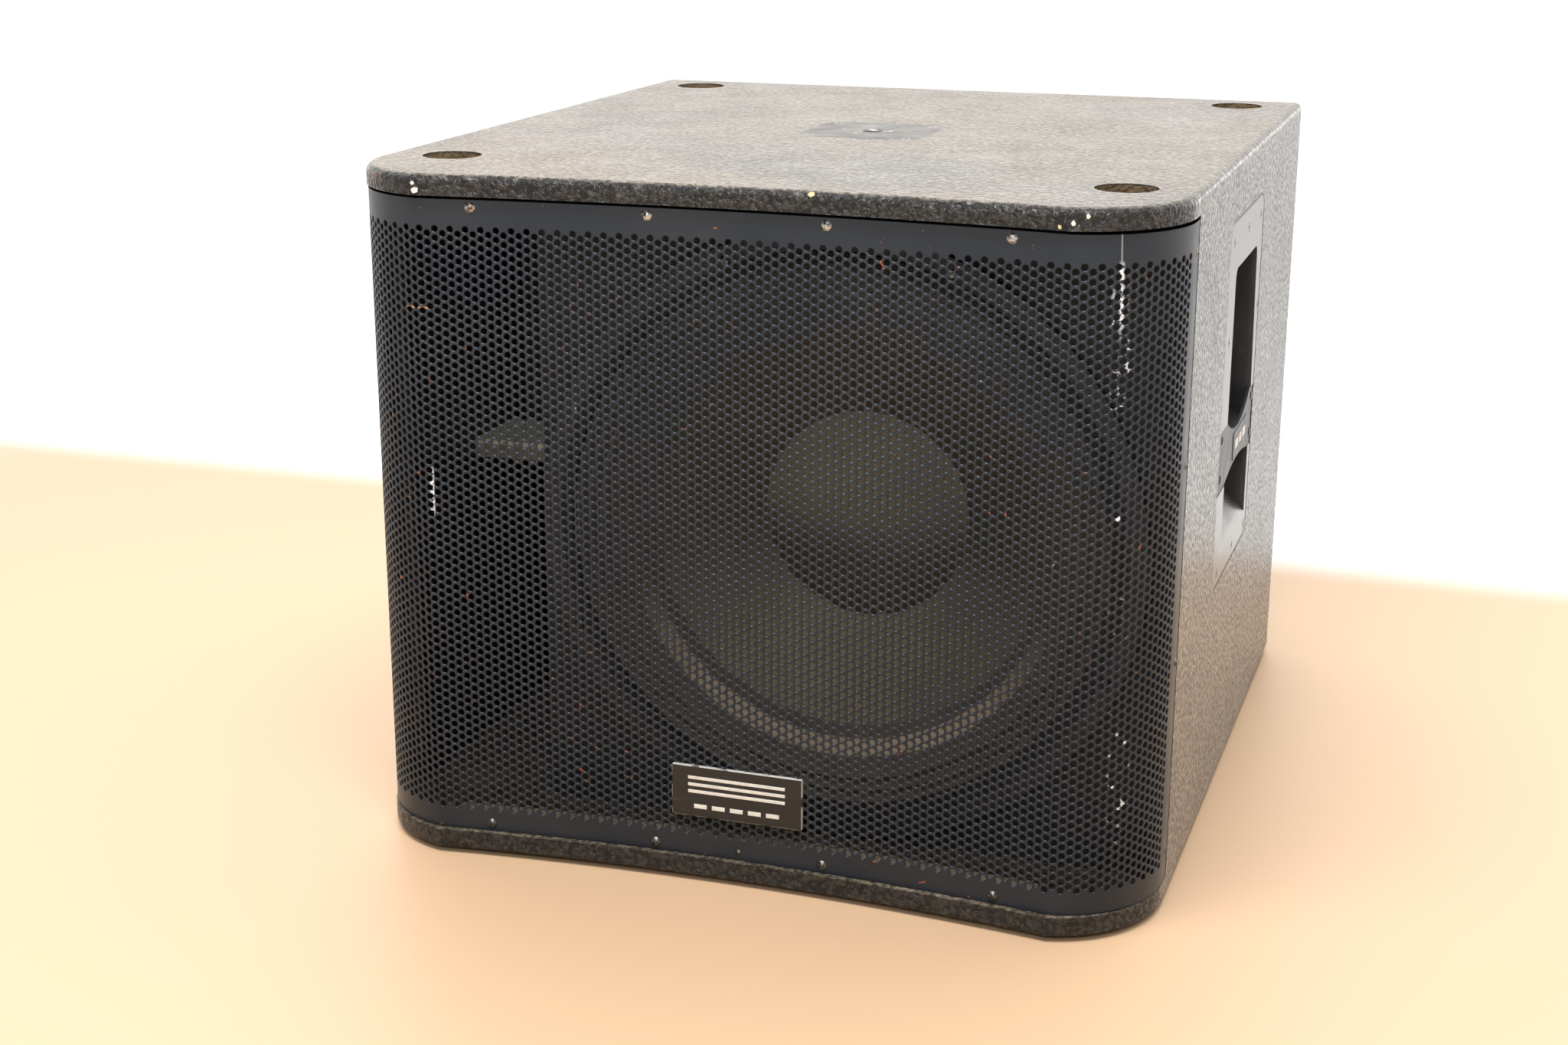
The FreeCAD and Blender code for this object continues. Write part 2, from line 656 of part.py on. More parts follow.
def woofer_surround():
    """Rolled edge that carries the cone; a plain arch here."""
    foot_outer = GASKET_INNER_R - 0.3
    foot_inner = CONE_R
    middle = (foot_outer + SURROUND_INNER_R) / 2
    return spin_about_woofer([
        (SURROUND_OUTER_R, STEP_D - CLOTH), (SURROUND_OUTER_R, STEP_D), (foot_outer, STEP_D),
        (middle, STEP_D - SURROUND_RISE), (foot_inner, STEP_D), (SURROUND_INNER_R, STEP_D),
        (SURROUND_INNER_R, STEP_D - CLOTH), (foot_inner, STEP_D - CLOTH),
        (middle, STEP_D - SURROUND_RISE - 2.5), (foot_outer, STEP_D - CLOTH)])


def cone_depth(radius):
    """Depth of the cone's front face at a radius: slightly curved, steeper near the coil."""
    part = (CONE_R - radius) / (CONE_R - COIL_R)
    return CONE_RIM_D + (CONE_DEPTH - CONE_RIM_D) * (0.86 * part + 0.14 * part ** 2)


def woofer_cone():
    """Paper cone from the surround's lip down to the coil former."""
    steps = 8
    inner_r = COIL_R + COIL_WALL
    radii = [CONE_R + (inner_r - CONE_R) * index / steps for index in range(steps + 1)]
    front = [(radius, cone_depth(radius)) for radius in radii]
    back = [(radius, depth + CONE_WALL) for radius, depth in reversed(front)]
    return spin_about_woofer(front + back)


def woofer_dust_cap():
    """Domed cap glued on the cone."""
    rim = cone_depth(DUST_CAP_R)
    outer_r = (DUST_CAP_R ** 2 + DUST_CAP_RISE ** 2) / (2 * DUST_CAP_RISE)
    centre = woofer_point(0, 0, rim - DUST_CAP_RISE + outer_r)
    dome = Part.makeSphere(outer_r, centre).cut(Part.makeSphere(outer_r - DUST_CAP_WALL, centre))
    front = woofer_point(0, 0, rim - DUST_CAP_RISE - 1.0)
    return dome.common(rod(front, woofer_point(0, 0, rim), DUST_CAP_R + 1.0))


def voice_coil():
    """Coil former with its winding."""
    outer_r = COIL_R + COIL_WALL
    former = ring(woofer_point(0, 0, COIL_START_D), Y_AXIS, outer_r, COIL_R, FORMER_LENGTH)
    depth, length, thick = WINDING
    winding = ring(woofer_point(0, 0, depth), Y_AXIS, outer_r + thick, outer_r, length)
    neck_d = cone_depth(outer_r)
    neck = spin_about_woofer([(COIL_R, COIL_START_D), (outer_r, COIL_START_D),
                              (outer_r, neck_d), (COIL_R, neck_d)])
    return former.fuse([winding, neck]).removeSplitter()


def woofer_spider():
    """Corrugated cloth disc between the coil former and the basket's ledge."""
    inner_r = COIL_R + COIL_WALL
    edge_r = LEDGE_R - 0.5
    steps = SPIDER_WAVES * 4
    front = []
    for index in range(steps + 1):
        radius = inner_r + (edge_r - inner_r) * index / steps
        front.append((radius, SPIDER_D + SPIDER_LIFT + SPIDER_WAVE * math.sin(index * math.pi / 2)))
    front.append((TUB_R - TUB_WALL - 0.5, SPIDER_D + 0.8))
    back = [(radius, depth + SPIDER_CLOTH) for radius, depth in reversed(front)]
    return spin_about_woofer(front + back)


def magnet_top_plate():
    bore = COIL_R + COIL_WALL + WINDING[2] + GAP_AROUND_WINDING
    return ring(woofer_point(0, 0, TOP_PLATE_D), Y_AXIS, PLATE_R, bore, MAGNET_D - TOP_PLATE_D)


def magnet_ring():
    return ring(woofer_point(0, 0, MAGNET_D), Y_AXIS, MAGNET_R, SEAT_BORE_R, YOKE_D - MAGNET_D)


def magnet_yoke():
    """Back plate with the pole piece and its vent."""
    plate = rod(woofer_point(0, 0, YOKE_D), woofer_point(0, 0, YOKE_END_D), PLATE_R)
    pole = rod(woofer_point(0, 0, TOP_PLATE_D), woofer_point(0, 0, YOKE_D), COIL_R - POLE_GAP)
    vent = rod(woofer_point(0, 0, TOP_PLATE_D), woofer_point(0, 0, YOKE_END_D), VENT_R)
    return plate.fuse(pole).cut(vent).removeSplitter()


def woofer_terminals():
    """Two spring posts on a block at the side of the basket's rear tub."""
    y_mid = BAFFLE_Y + TERMINAL_D
    z_low = WOOFER_Z + TUB_R
    z_base = z_low + 8
    base = block((WOOFER_X - 16, WOOFER_X + 16), (y_mid - 8, y_mid + 8), (z_low, z_base))
    foot = rod(V(WOOFER_X, y_mid, z_low - 1), V(WOOFER_X, y_mid, z_low + 1), 3.0)
    posts = [rod(V(WOOFER_X + x, y_mid, z_base), V(WOOFER_X + x, y_mid, z_base + POST_LENGTH), POST_R)
             for x in (-POST_X, POST_X)]
    tub = rod(woofer_point(0, 0, SPIDER_D), woofer_point(0, 0, TOP_PLATE_D), TUB_R)
    return base.fuse(posts + [foot]).cut(tub).removeSplitter()


# ---- side handles --------------------------------------------------------------------------------
def handle_outline(x_start, x_end, shrink):
    """The handle plate's rounded outline between two X values; a negative shrink makes it larger."""
    slab = block((x_start, x_end), (HANDLE_Y[0] + shrink, HANDLE_Y[1] - shrink),
                 (HANDLE_Z[0] + shrink, HANDLE_Z[1] - shrink))
    return slab.makeFillet(HANDLE_CORNER - shrink, edges_along(slab, X_AXIS))


def cup_body(grow):
    """The finger cup as a solid, grown by a wall thickness: deep at the top, swept out below."""
    spare = 5.0
    x_mouth = X_WALL + spare
    x_back = X_WALL - CUP_DEPTH
    mouth = math.radians(CUP_MOUTH_ANGLE)
    radius = CUP_DEPTH / (1 - math.cos(mouth))
    bend_z = CUP_Z[0] + radius * math.sin(mouth)
    centre = V(x_back + radius, 0, bend_z)
    sweep_r = radius + grow
    end_turn = math.acos((centre.x - X_WALL) / sweep_r)
    middle = centre - V(math.cos(end_turn / 2), 0, math.sin(end_turn / 2)) * sweep_r
    end_x = X_WALL
    end_z = centre.z - sweep_r * math.sin(end_turn)
    corner = CUP_BACK_ROUND
    top = CUP_Z[1] + grow
    back = x_back - grow
    bend = corner * (1 - math.sqrt(0.5))
    edges = [
        Part.makeLine(V(x_mouth, 0, top), V(back + corner, 0, top)),
        Part.Arc(V(back + corner, 0, top), V(back + bend, 0, top - bend),
                 V(back, 0, top - corner)).toShape(),
        Part.makeLine(V(back, 0, top - corner), V(back, 0, bend_z)),
        Part.Arc(V(back, 0, bend_z), middle, V(end_x, 0, end_z)).toShape(),
        Part.makeLine(V(end_x, 0, end_z), V(x_mouth, 0, end_z)),
        Part.makeLine(V(x_mouth, 0, end_z), V(x_mouth, 0, top))]
    profile = Part.Face(Part.Wire(edges))
    y_low, y_high = CUP_Y[0] - grow, CUP_Y[1] + grow
    profile.translate(V(0, y_low - spare, 0))
    swept = profile.extrude(V(0, y_high - y_low + 2 * spare, 0))
    x = back - spare
    low = CUP_Z[0] - grow - 2 * spare
    outline = prism([V(x, y_low, low), V(x, y_high, low), V(x, y_high, CUP_SLANT_Z),
                     V(x, CUP_TOP_Y + grow, top), V(x, y_low, top)], V(x_mouth + spare - x, 0, 0))
    upper = [edge for edge in edges_along(outline, X_AXIS) if edge.CenterOfMass.z > CUP_SLANT_Z + spare]
    return swept.common(outline.makeFillet(CUP_CORNER, upper))


def handle_screw_points():
    return [V(X_WALL - HANDLE_INSET, y, z) for y, z in HANDLE_SCREW_YZ]


def bridge_plate(x_start, x_end, gap):
    """The bridge's waisted outline between two X values, grown by a gap."""
    y_start, y_end = HANDLE_Y[0] - gap, HANDLE_Y[1] + gap
    y_mid = (GRIP_Y[0] + GRIP_Y[1]) / 2
    low, high = BRIDGE_Z[0] - gap, BRIDGE_Z[1] + gap
    corners = [V(x_start, y_start, low), V(x_start, GRIP_Y[0], low), V(x_start, GRIP_Y[1], low),
               V(x_start, y_end, low), V(x_start, y_end, high), V(x_start, GRIP_Y[1], high),
               V(x_start, GRIP_Y[0], high), V(x_start, y_start, high)]
    edges = [
        Part.makeLine(corners[0], corners[1]),
        Part.Arc(corners[1], V(x_start, y_mid, BRIDGE_WAIST_Z[0] - gap), corners[2]).toShape(),
        Part.makeLine(corners[2], corners[3]), Part.makeLine(corners[3], corners[4]),
        Part.makeLine(corners[4], corners[5]),
        Part.Arc(corners[5], V(x_start, y_mid, BRIDGE_WAIST_Z[1] + gap), corners[6]).toShape(),
        Part.makeLine(corners[6], corners[7]), Part.makeLine(corners[7], corners[0])]
    return Part.Face(Part.Wire(edges)).extrude(V(x_end - x_start, 0, 0))


def right_handle_pan():
    """Moulded plate with its finger cup; the bridge's ends drop into two notches."""
    outer = X_WALL - HANDLE_INSET
    plate = handle_outline(outer - HANDLE_SHEET, outer, 0.0)
    shell_limit = block((0, outer), (-400, 400), (0, 600))
    body = plate.fuse(cup_body(CUP_WALL).common(shell_limit)).cut(cup_body(0.0))
    notch = bridge_plate(outer - HANDLE_SHEET, X_WALL + 1, 0.2)
    holes = [flat_hole(point, X_AXIS) for point in handle_screw_points()]
    return body.cut([notch] + holes)


def right_handle_bridge():
    """The grip across the cup: end tabs in the plate's thickness and a deep rounded bar between."""
    outer = X_WALL - HANDLE_INSET - PAD_RAISE
    inner = X_WALL - HANDLE_INSET - HANDLE_SHEET
    tabs = bridge_plate(inner, outer, 0.0).common(handle_outline(inner, outer, 0.0))
    grip = block((outer - GRIP_DEPTH, outer - 1.0), GRIP_Y, BRIDGE_WAIST_Z)
    deep_edges = [edge for edge in edges_along(grip, Y_AXIS) if edge.CenterOfMass.x < outer - 5]
    grip = grip.makeFillet(GRIP_ROUND, deep_edges)
    pad = block((outer, outer + PAD_RAISE), PAD_Y, PAD_Z)
    pad = pad.makeFillet(3.0, edges_along(pad, X_AXIS))
    body = tabs.fuse([grip, pad])
    return body.cut([flat_hole(point, X_AXIS) for point in handle_screw_points()])


def countersunk_screws():
    """All the flat-head screws: both handles and the pole socket."""
    right = [flat_screw(point, X_AXIS, 3.5, 2.1) for point in handle_screw_points()]
    left = [flat_screw(V(-point.x, point.y, point.z), -X_AXIS, 3.5, 2.1)
            for point in handle_screw_points()]
    pole = [flat_screw(point, Z_AXIS) for point in pole_screw_points()]
    return Part.makeCompound(right + left + pole)


# ---- pole socket ---------------------------------------------------------------------------------
def pole_screw_points():
    return [V(x, POLE_Y + y, Z_HIGH) for x in (-POLE_SCREW_OFFSET, POLE_SCREW_OFFSET)
            for y in (-POLE_SCREW_OFFSET, POLE_SCREW_OFFSET)]


def pole_plate_blank():
    """Square plate with slightly bulging sides and round corners."""
    half = POLE_PLATE / 2
    inner = half - POLE_PLATE_BULGE
    z = Z_HIGH - POLE_PLATE_THICK
    corners = [V(inner, POLE_Y - inner, z), V(inner, POLE_Y + inner, z),
               V(-inner, POLE_Y + inner, z), V(-inner, POLE_Y - inner, z)]
    middles = [V(half, POLE_Y, z), V(0, POLE_Y + half, z), V(-half, POLE_Y, z), V(0, POLE_Y - half, z)]
    edges = [Part.Arc(corners[i], middles[i], corners[(i + 1) % 4]).toShape() for i in range(4)]
    plate = Part.Face(Part.Wire(edges)).extrude(V(0, 0, POLE_PLATE_THICK))
    return plate.makeFillet(9.0, edges_along(plate, Z_AXIS))


def pole_socket():
    """Cast plate let into the top, with a threaded sleeve below it."""
    sleeve = Part.makeCylinder(POLE_SLEEVE_R, POLE_SLEEVE_LENGTH,
                               V(0, POLE_Y, Z_HIGH - POLE_SLEEVE_LENGTH))
    bore = Part.makeCylinder(POLE_HOLE_R, POLE_SLEEVE_LENGTH, V(0, POLE_Y, Z_HIGH - POLE_SLEEVE_LENGTH))
    body = pole_plate_blank().fuse(sleeve).cut(bore).removeSplitter()
    return body.cut([flat_hole(point, Z_AXIS) for point in pole_screw_points()])


# ---- amplifier -----------------------------------------------------------------------------------
AMP_FACE_Y = Y_BACK + AMP_SHEET


def amp_screw_points():
    """Screws round the amplifier plate."""
    corners = [V(x, AMP_FACE_Y, z) for x in (AMP_SCREW_XS[0], AMP_SCREW_XS[-1]) for z in AMP_SCREW_ZS]
    middles = [V(AMP_SCREW_XS[1], AMP_FACE_Y, z) for z in (AMP_SCREW_ZS[0], AMP_SCREW_ZS[-1])]
    return corners + middles


def fan_vents():
    """Ring of slots in front of the fan."""
    slots = []
    for radius in VENT_RADII:
        band = ring(V(FAN_X, Y_BACK, FAN_Z), Y_AXIS, radius + VENT_HALF, radius - VENT_HALF, AMP_SHEET)
        spokes = []
        for index in range(VENT_SPOKES):
            spoke = slab_at(0, 0, FAN_SIZE + 10, 4.0, Y_BACK, AMP_FACE_Y)
            spoke.rotate(V(0, 0, 0), Y_AXIS, index * 180.0 / VENT_SPOKES)
            spoke.translate(V(FAN_X, 0, FAN_Z))
            spokes.append(spoke)
        slots.append(band.cut(spokes))
    return slots


def switch_slot(z):
    """The slot that a slide switch's lever moves in."""
    half = SWITCH_TRAVEL / 2 + 3.4
    return block((SWITCH_X - half, SWITCH_X + half), (Y_BACK, AMP_FACE_Y), (z - 2.6, z + 2.6))


def amp_panel():
    plate = block((-AMP_HALF_WIDTH, AMP_HALF_WIDTH), (Y_BACK, AMP_FACE_Y), AMP_Z)
    plate = plate.makeFillet(6.0, edges_along(plate, Y_AXIS))
    tools = [pan_hole(point, Y_AXIS, AMP_SHEET) for point in amp_screw_points()] + fan_vents()
    tools += [rod(V(sign * x, Y_BACK, JACK_Z), V(sign * x, AMP_FACE_Y, JACK_Z), JACK_R)
              for x in JACK_XS for sign in (-1, 1)]
    tools += [rod(V(x, Y_BACK, LED_Z), V(x, AMP_FACE_Y, LED_Z), LED_R) for x in LED_XS]
    tools += [switch_slot(z) for z in SWITCH_ZS.values()]
    tools.append(rod(V(KNOB_X, Y_BACK, KNOB_Z), V(KNOB_X, AMP_FACE_Y, KNOB_Z), KNOB_SHAFT_R + RUNNING_GAP))
    tools.append(slab_at(INLET_X, INLET_Z, *INLET_BODY, Y_BACK, AMP_FACE_Y))
    tools.append(slab_at(ROCKER_X, ROCKER_Z, *BEZEL_BODY, Y_BACK, AMP_FACE_Y))
    return plate.cut(tools)


def slab_at(x, z, width, height, y_start, y_end):
    """A plain rectangular block centred on an X and a Z."""
    return block((x - width / 2, x + width / 2), (y_start, y_end), (z - height / 2, z + height / 2))


def amp_screws():
    return Part.makeCompound([pan_screw(point, Y_AXIS, 3.8, 2.2, 2.0, AMP_SHEET + 12.0)
                              for point in amp_screw_points()])


def heat_sink():
    """Aluminium base on the amplifier plate with separate fins bonded to it."""
    base = block((-SINK_HALF_WIDTH, SINK_HALF_WIDTH), (AMP_FACE_Y, AMP_FACE_Y + SINK_BASE), SINK_Z)
    step = (2 * SINK_HALF_WIDTH - SINK_FIN_THICK) / (SINK_FIN_COUNT - 1)
    y_start = AMP_FACE_Y + SINK_BASE
    starts = [-SINK_HALF_WIDTH + index * step for index in range(SINK_FIN_COUNT)]
    fins = [block((x, x + SINK_FIN_THICK), (y_start, y_start + SINK_FIN_HEIGHT), SINK_Z) for x in starts]
    return Part.makeCompound([base] + fins)


def amp_circuit_board():
    return block(BOARD_X, (BOARD_Y, BOARD_Y + BOARD_THICK), BOARD_Z)


def board_standoffs():
    """Four metal pillars between the circuit board and the amplifier plate."""
    return Part.makeCompound([rod(V(x, BOARD_Y + BOARD_THICK, z), V(x, Y_BACK, z), PILLAR_R)
                              for x in (BOARD_X[0] + PILLAR_INSET, BOARD_X[1] - PILLAR_INSET)
                              for z in (BOARD_Z[0] + PILLAR_INSET, BOARD_Z[1] - PILLAR_INSET)])


def amp_components():
    """Transformer, capacitors and small heat spreaders on the board's inner side."""
    parts = [ring(V(-66, BOARD_Y, 262), -Y_AXIS, 46.0, 16.0, 38.0)]
    parts += [rod(V(x, BOARD_Y, z), V(x, BOARD_Y - 46, z), 15.0) for x in (20, 56, 92) for z in (236, 274)]
    parts += [block((x, x + 8), (BOARD_Y - 34, BOARD_Y), (330, 414)) for x in (-90, -40, 10, 60)]
    parts += [block((x, x + 26), (BOARD_Y - 20, BOARD_Y), (350, 376)) for x in (-76, -26, 24)]
    return Part.makeCompound(parts)


def fan_housing():
    """Square fan frame with its duct, hub seat and three struts."""
    y_start = Y_BACK - FAN_DEPTH
    frame = rounded_slab_xz(FAN_X, FAN_Z, FAN_SIZE, FAN_SIZE, 5.0, y_start, Y_BACK)
    frame = frame.cut(rod(V(FAN_X, y_start, FAN_Z), V(FAN_X, Y_BACK, FAN_Z), FAN_DUCT_R))
    seat_end = y_start + ROTOR_START - 1
    shaft_end = y_start + ROTOR_START + ROTOR_LENGTH - 3
    seat = rod(V(FAN_X, y_start, FAN_Z), V(FAN_X, seat_end, FAN_Z), FAN_HUB_R)
    shaft = rod(V(FAN_X, y_start, FAN_Z), V(FAN_X, shaft_end, FAN_Z), FAN_SHAFT_R)
    struts = []
    for index in range(FAN_STRUTS):
        strut = block((0, FAN_DUCT_R + 1), (0, 3), (-2.5, 2.5))
        strut.rotate(V(0, 0, 0), Y_AXIS, 30 + index * 360.0 / FAN_STRUTS)
        strut.translate(V(FAN_X, y_start, FAN_Z))
        struts.append(strut)
    return frame.fuse([seat, shaft] + struts).removeSplitter()


def fan_rotor():
    """Hub and seven pitched blades that spin on the housing's shaft."""
    start = V(FAN_X, Y_BACK - FAN_DEPTH + ROTOR_START, FAN_Z)
    half = ROTOR_LENGTH / 2
    hub = rod(start, start + Y_AXIS * ROTOR_LENGTH, FAN_HUB_R)
    blades = []
    for index in range(FAN_BLADES):
        blade = block((FAN_HUB_R - 3, FAN_BLADE_R), (-BLADE_THICK / 2, BLADE_THICK / 2), (-half, half))
        blade.rotate(V(0, 0, 0), X_AXIS, BLADE_PITCH)
        blade.rotate(V(0, 0, 0), Y_AXIS, index * 360.0 / FAN_BLADES)
        blade.translate(start + Y_AXIS * half)
        blades.append(blade)
    envelope = rod(start, start + Y_AXIS * ROTOR_LENGTH, FAN_BLADE_R)
    body = hub.fuse(blades).common(envelope)
    bore = rod(start, start + Y_AXIS * (ROTOR_LENGTH - 2.5), FAN_SHAFT_R + RUNNING_GAP)
    return body.cut(bore).removeSplitter()


def gain_knob():
    """Fluted knob with a pointer groove; its shaft runs through the amplifier plate."""
    y_start = AMP_FACE_Y + 1.0
    y_end = y_start + KNOB_HEIGHT
    body = Part.makeCone(KNOB_R, KNOB_R - 1.2, KNOB_HEIGHT, V(KNOB_X, y_start, KNOB_Z), Y_AXIS)
    flutes = []
    for index in range(KNOB_FLUTES):
        angle = 2 * math.pi * (index + 0.5) / KNOB_FLUTES
        x = KNOB_X + (KNOB_R + 0.4) * math.cos(angle)
        z = KNOB_Z + (KNOB_R + 0.4) * math.sin(angle)
        flutes.append(rod(V(x, y_start + 3, z), V(x, y_end, z), KNOB_FLUTE_R))
    half, depth = KNOB_GROOVE
    groove = block((KNOB_X - half, KNOB_X + half), (y_end - depth, y_end), (KNOB_Z + 3, KNOB_Z + KNOB_R))
    shaft = rod(V(KNOB_X, Y_BACK - 14, KNOB_Z), V(KNOB_X, y_start + 1, KNOB_Z), KNOB_SHAFT_R)
    return body.cut(flutes + [groove]).fuse(shaft).removeSplitter()


def jack(x):
    """One round panel connector: outer flange, barrel through the plate and an open socket."""
    width, height = JACK_FLANGE
    flange = rounded_slab_xz(x, JACK_Z, width, height, 3.0, AMP_FACE_Y, AMP_FACE_Y + 2.0)
    barrel = rod(V(x, Y_BACK - 18, JACK_Z), V(x, AMP_FACE_Y + 1, JACK_Z), JACK_R)
    lip = ring(V(x, AMP_FACE_Y + 2.0, JACK_Z), Y_AXIS, JACK_R, JACK_SOCKET_R, 1.0)
    mouth = AMP_FACE_Y + 3.0
    socket = rod(V(x, mouth - JACK_SOCKET_DEPTH, JACK_Z), V(x, mouth, JACK_Z), JACK_SOCKET_R)
    return flange.fuse([barrel, lip]).cut(socket).removeSplitter()


def input_jacks():
    return Part.makeCompound([jack(x) for x in JACK_XS])


def output_jacks():
    return Part.makeCompound([jack(-x) for x in JACK_XS])


def indicator_leds():
    """Four domed indicator lamps."""
    lamps = []
    for x in LED_XS:
        stem = rod(V(x, Y_BACK - 3, LED_Z), V(x, AMP_FACE_Y + 0.5, LED_Z), LED_R)
        lamps.append(stem.fuse(Part.makeSphere(LED_R, V(x, AMP_FACE_Y + 0.5, LED_Z))).removeSplitter())
    return Part.makeCompound(lamps)


def slide_switch(z):
    """A slide switch's lever with the carriage behind the plate, at the left end of its travel."""
    x = SWITCH_X - SWITCH_TRAVEL / 2
    lever = block((x - 2.8, x + 2.8), (Y_BACK - 1.0, AMP_FACE_Y + 4.0), (z - 2.2, z + 2.2))
    carriage = block((x - 6.5, x + 6.5), (Y_BACK - 4.0, Y_BACK - 0.4), (z - 5.0, z + 5.0))
    return lever.fuse(carriage).removeSplitter()


def power_inlet():
    """Mains inlet: a flange with a rectangular socket."""
    flange = rounded_slab_xz(INLET_X, INLET_Z, *INLET_SIZE, 3.0, AMP_FACE_Y, AMP_FACE_Y + 2.5)
    body = slab_at(INLET_X, INLET_Z, *INLET_BODY, Y_BACK - 20, AMP_FACE_Y + 1)
    socket = slab_at(INLET_X, INLET_Z, *INLET_HOLE, Y_BACK - 13, AMP_FACE_Y + 2.5)
    socket = socket.makeChamfer(4.0, [edge for edge in edges_along(socket, Y_AXIS)
                                      if edge.CenterOfMass.z > INLET_Z])
    return flange.fuse(body).cut(socket).removeSplitter()


def power_switch_bezel():
    """Frame that the power rocker tips in, with the pins' two bearing holes."""
    outer = slab_at(ROCKER_X, ROCKER_Z, *BEZEL_SIZE, AMP_FACE_Y, AMP_FACE_Y + 2.0)
    body = slab_at(ROCKER_X, ROCKER_Z, *BEZEL_BODY, Y_BACK - 14, AMP_FACE_Y + 1)
    well = slab_at(ROCKER_X, ROCKER_Z, ROCKER_SIZE[0] + 1.0, ROCKER_SIZE[1] + 3.0,
                   Y_BACK - 12, AMP_FACE_Y + 2.0)
    return outer.fuse(body).cut([well, rocker_pin(ROCKER_PIN_R + RUNNING_GAP)]).removeSplitter()


def rocker_pin(radius):
    pivot = V(ROCKER_X, AMP_FACE_Y - ROCKER_PIVOT_INSET, ROCKER_Z)
    return rod(pivot - X_AXIS * ROCKER_PIN_REACH, pivot + X_AXIS * ROCKER_PIN_REACH, radius)


def power_rocker():
    """Rocker with a shallow vee face, stored with its lower end pressed in."""
    width, height = ROCKER_SIZE
    half = height / 2
    pivot = V(ROCKER_X, AMP_FACE_Y - ROCKER_PIVOT_INSET, ROCKER_Z)
    x = ROCKER_X - width / 2
    face_y = AMP_FACE_Y + 3.0
    outline = [V(x, pivot.y - 5, pivot.z - 5), V(x, pivot.y - 5, pivot.z + 5),
               V(x, pivot.y - 1, pivot.z + half), V(x, face_y + ROCKER_VEE, pivot.z + half),
               V(x, face_y, pivot.z), V(x, face_y + ROCKER_VEE, pivot.z - half),
               V(x, pivot.y - 1, pivot.z - half)]
    body = prism(outline, V(width, 0, 0)).fuse(rocker_pin(ROCKER_PIN_R)).removeSplitter()
    body.rotate(pivot, X_AXIS, -ROCKER_TILT)
    return body


def woofer_cable():
    """Lead pair from the circuit board to the woofer's terminals, one sleeve, straight runs and arcs."""
    end = V(WOOFER_X + POST_X, BAFFLE_Y + TERMINAL_D, WOOFER_Z + TUB_R + 8 + POST_LENGTH)
    points = [V(100, BOARD_Y, 330), V(100, BOARD_Y - 50, 330), V(97, BOARD_Y - 125, 358),
              V(87, BOARD_Y - 205, 398), V(76, BOARD_Y - 285, 428), V(67, BOARD_Y - 350, 442),
              V(end.x + 1, BOARD_Y - 396, 434), V(end.x, end.y, end.z + 28), end]
    start = points[0]
    edges = []
    here = start
    for before, corner, after in zip(points, points[1:], points[2:]):
        go_in = (corner - before).normalize()
        go_out = (after - corner).normalize()
        turn = go_in.getAngle(go_out)
        reach = 0.45 * min((corner - before).Length, (after - corner).Length)
        bend = reach / math.tan(turn / 2)
        enter = corner - go_in * reach
        leave = corner + go_out * reach
        toward = (go_out - go_in).normalize()
        middle = corner + toward * (bend / math.cos(turn / 2) - bend)
        edges.append(Part.makeLine(here, enter))
        edges.append(Part.Arc(enter, middle, leave).toShape())
        here = leave
        print("cable bend radius", round(bend, 1))
    edges.append(Part.makeLine(here, points[-1]))
    path = Part.Wire(edges)
    section = Part.Wire(Part.makeCircle(CABLE_R, start, points[1] - start))
    tube = path.makePipeShell([section], True, True)
    straight = math.pi * CABLE_R ** 2 * path.Length
    print("cable volume over section times length", round(tube.Volume / straight, 4))
    return tube


# ---- casters -------------------------------------------------------------------------------------
def caster_centres():
    return [(side * CASTER_X, z) for side in CASTER_SIDES.values() for z in CASTER_ZS.values()]


def caster_screw_points():
    return [V(x + sx * CASTER_SCREW_OFFSET[0], Y_BACK + CASTER_SHEET, z + sz * CASTER_SCREW_OFFSET[1])
            for x, z in caster_centres() for sx in (-1, 1) for sz in (-1, 1)]


def caster_plates():
    """Mounting plate with its fixed bearing race and king pin, four times."""
    face = Y_BACK + CASTER_SHEET
    holes = [pan_hole(point, Y_AXIS, CASTER_SHEET) for point in caster_screw_points()]
    nut_y = face + RACE_HEIGHT + CROWN_GAP + CROWN_THICK + 0.2
    plates = []
    for x, z in caster_centres():
        plate = rounded_slab_xz(x, z, *CASTER_PLATE, 8.0, Y_BACK, face)
        race = Part.makeCone(RACE_R + 4, RACE_R, RACE_HEIGHT, V(x, face, z), Y_AXIS)
        pin = rod(V(x, face, z), V(x, Y_BACK + KING_PIN_REACH, z), KING_PIN_R)
        nut = rod(V(x, nut_y, z), V(x, Y_BACK + KING_PIN_REACH + 2, z), KING_PIN_R + 3)
        plates.append(plate.fuse([race, pin, nut]).cut(holes).removeSplitter())
    return Part.makeCompound(plates)


def caster_screws():
    return Part.makeCompound([pan_screw(point, Y_AXIS, 4.2, 2.4, 2.0, 15.0)
                              for point in caster_screw_points()])


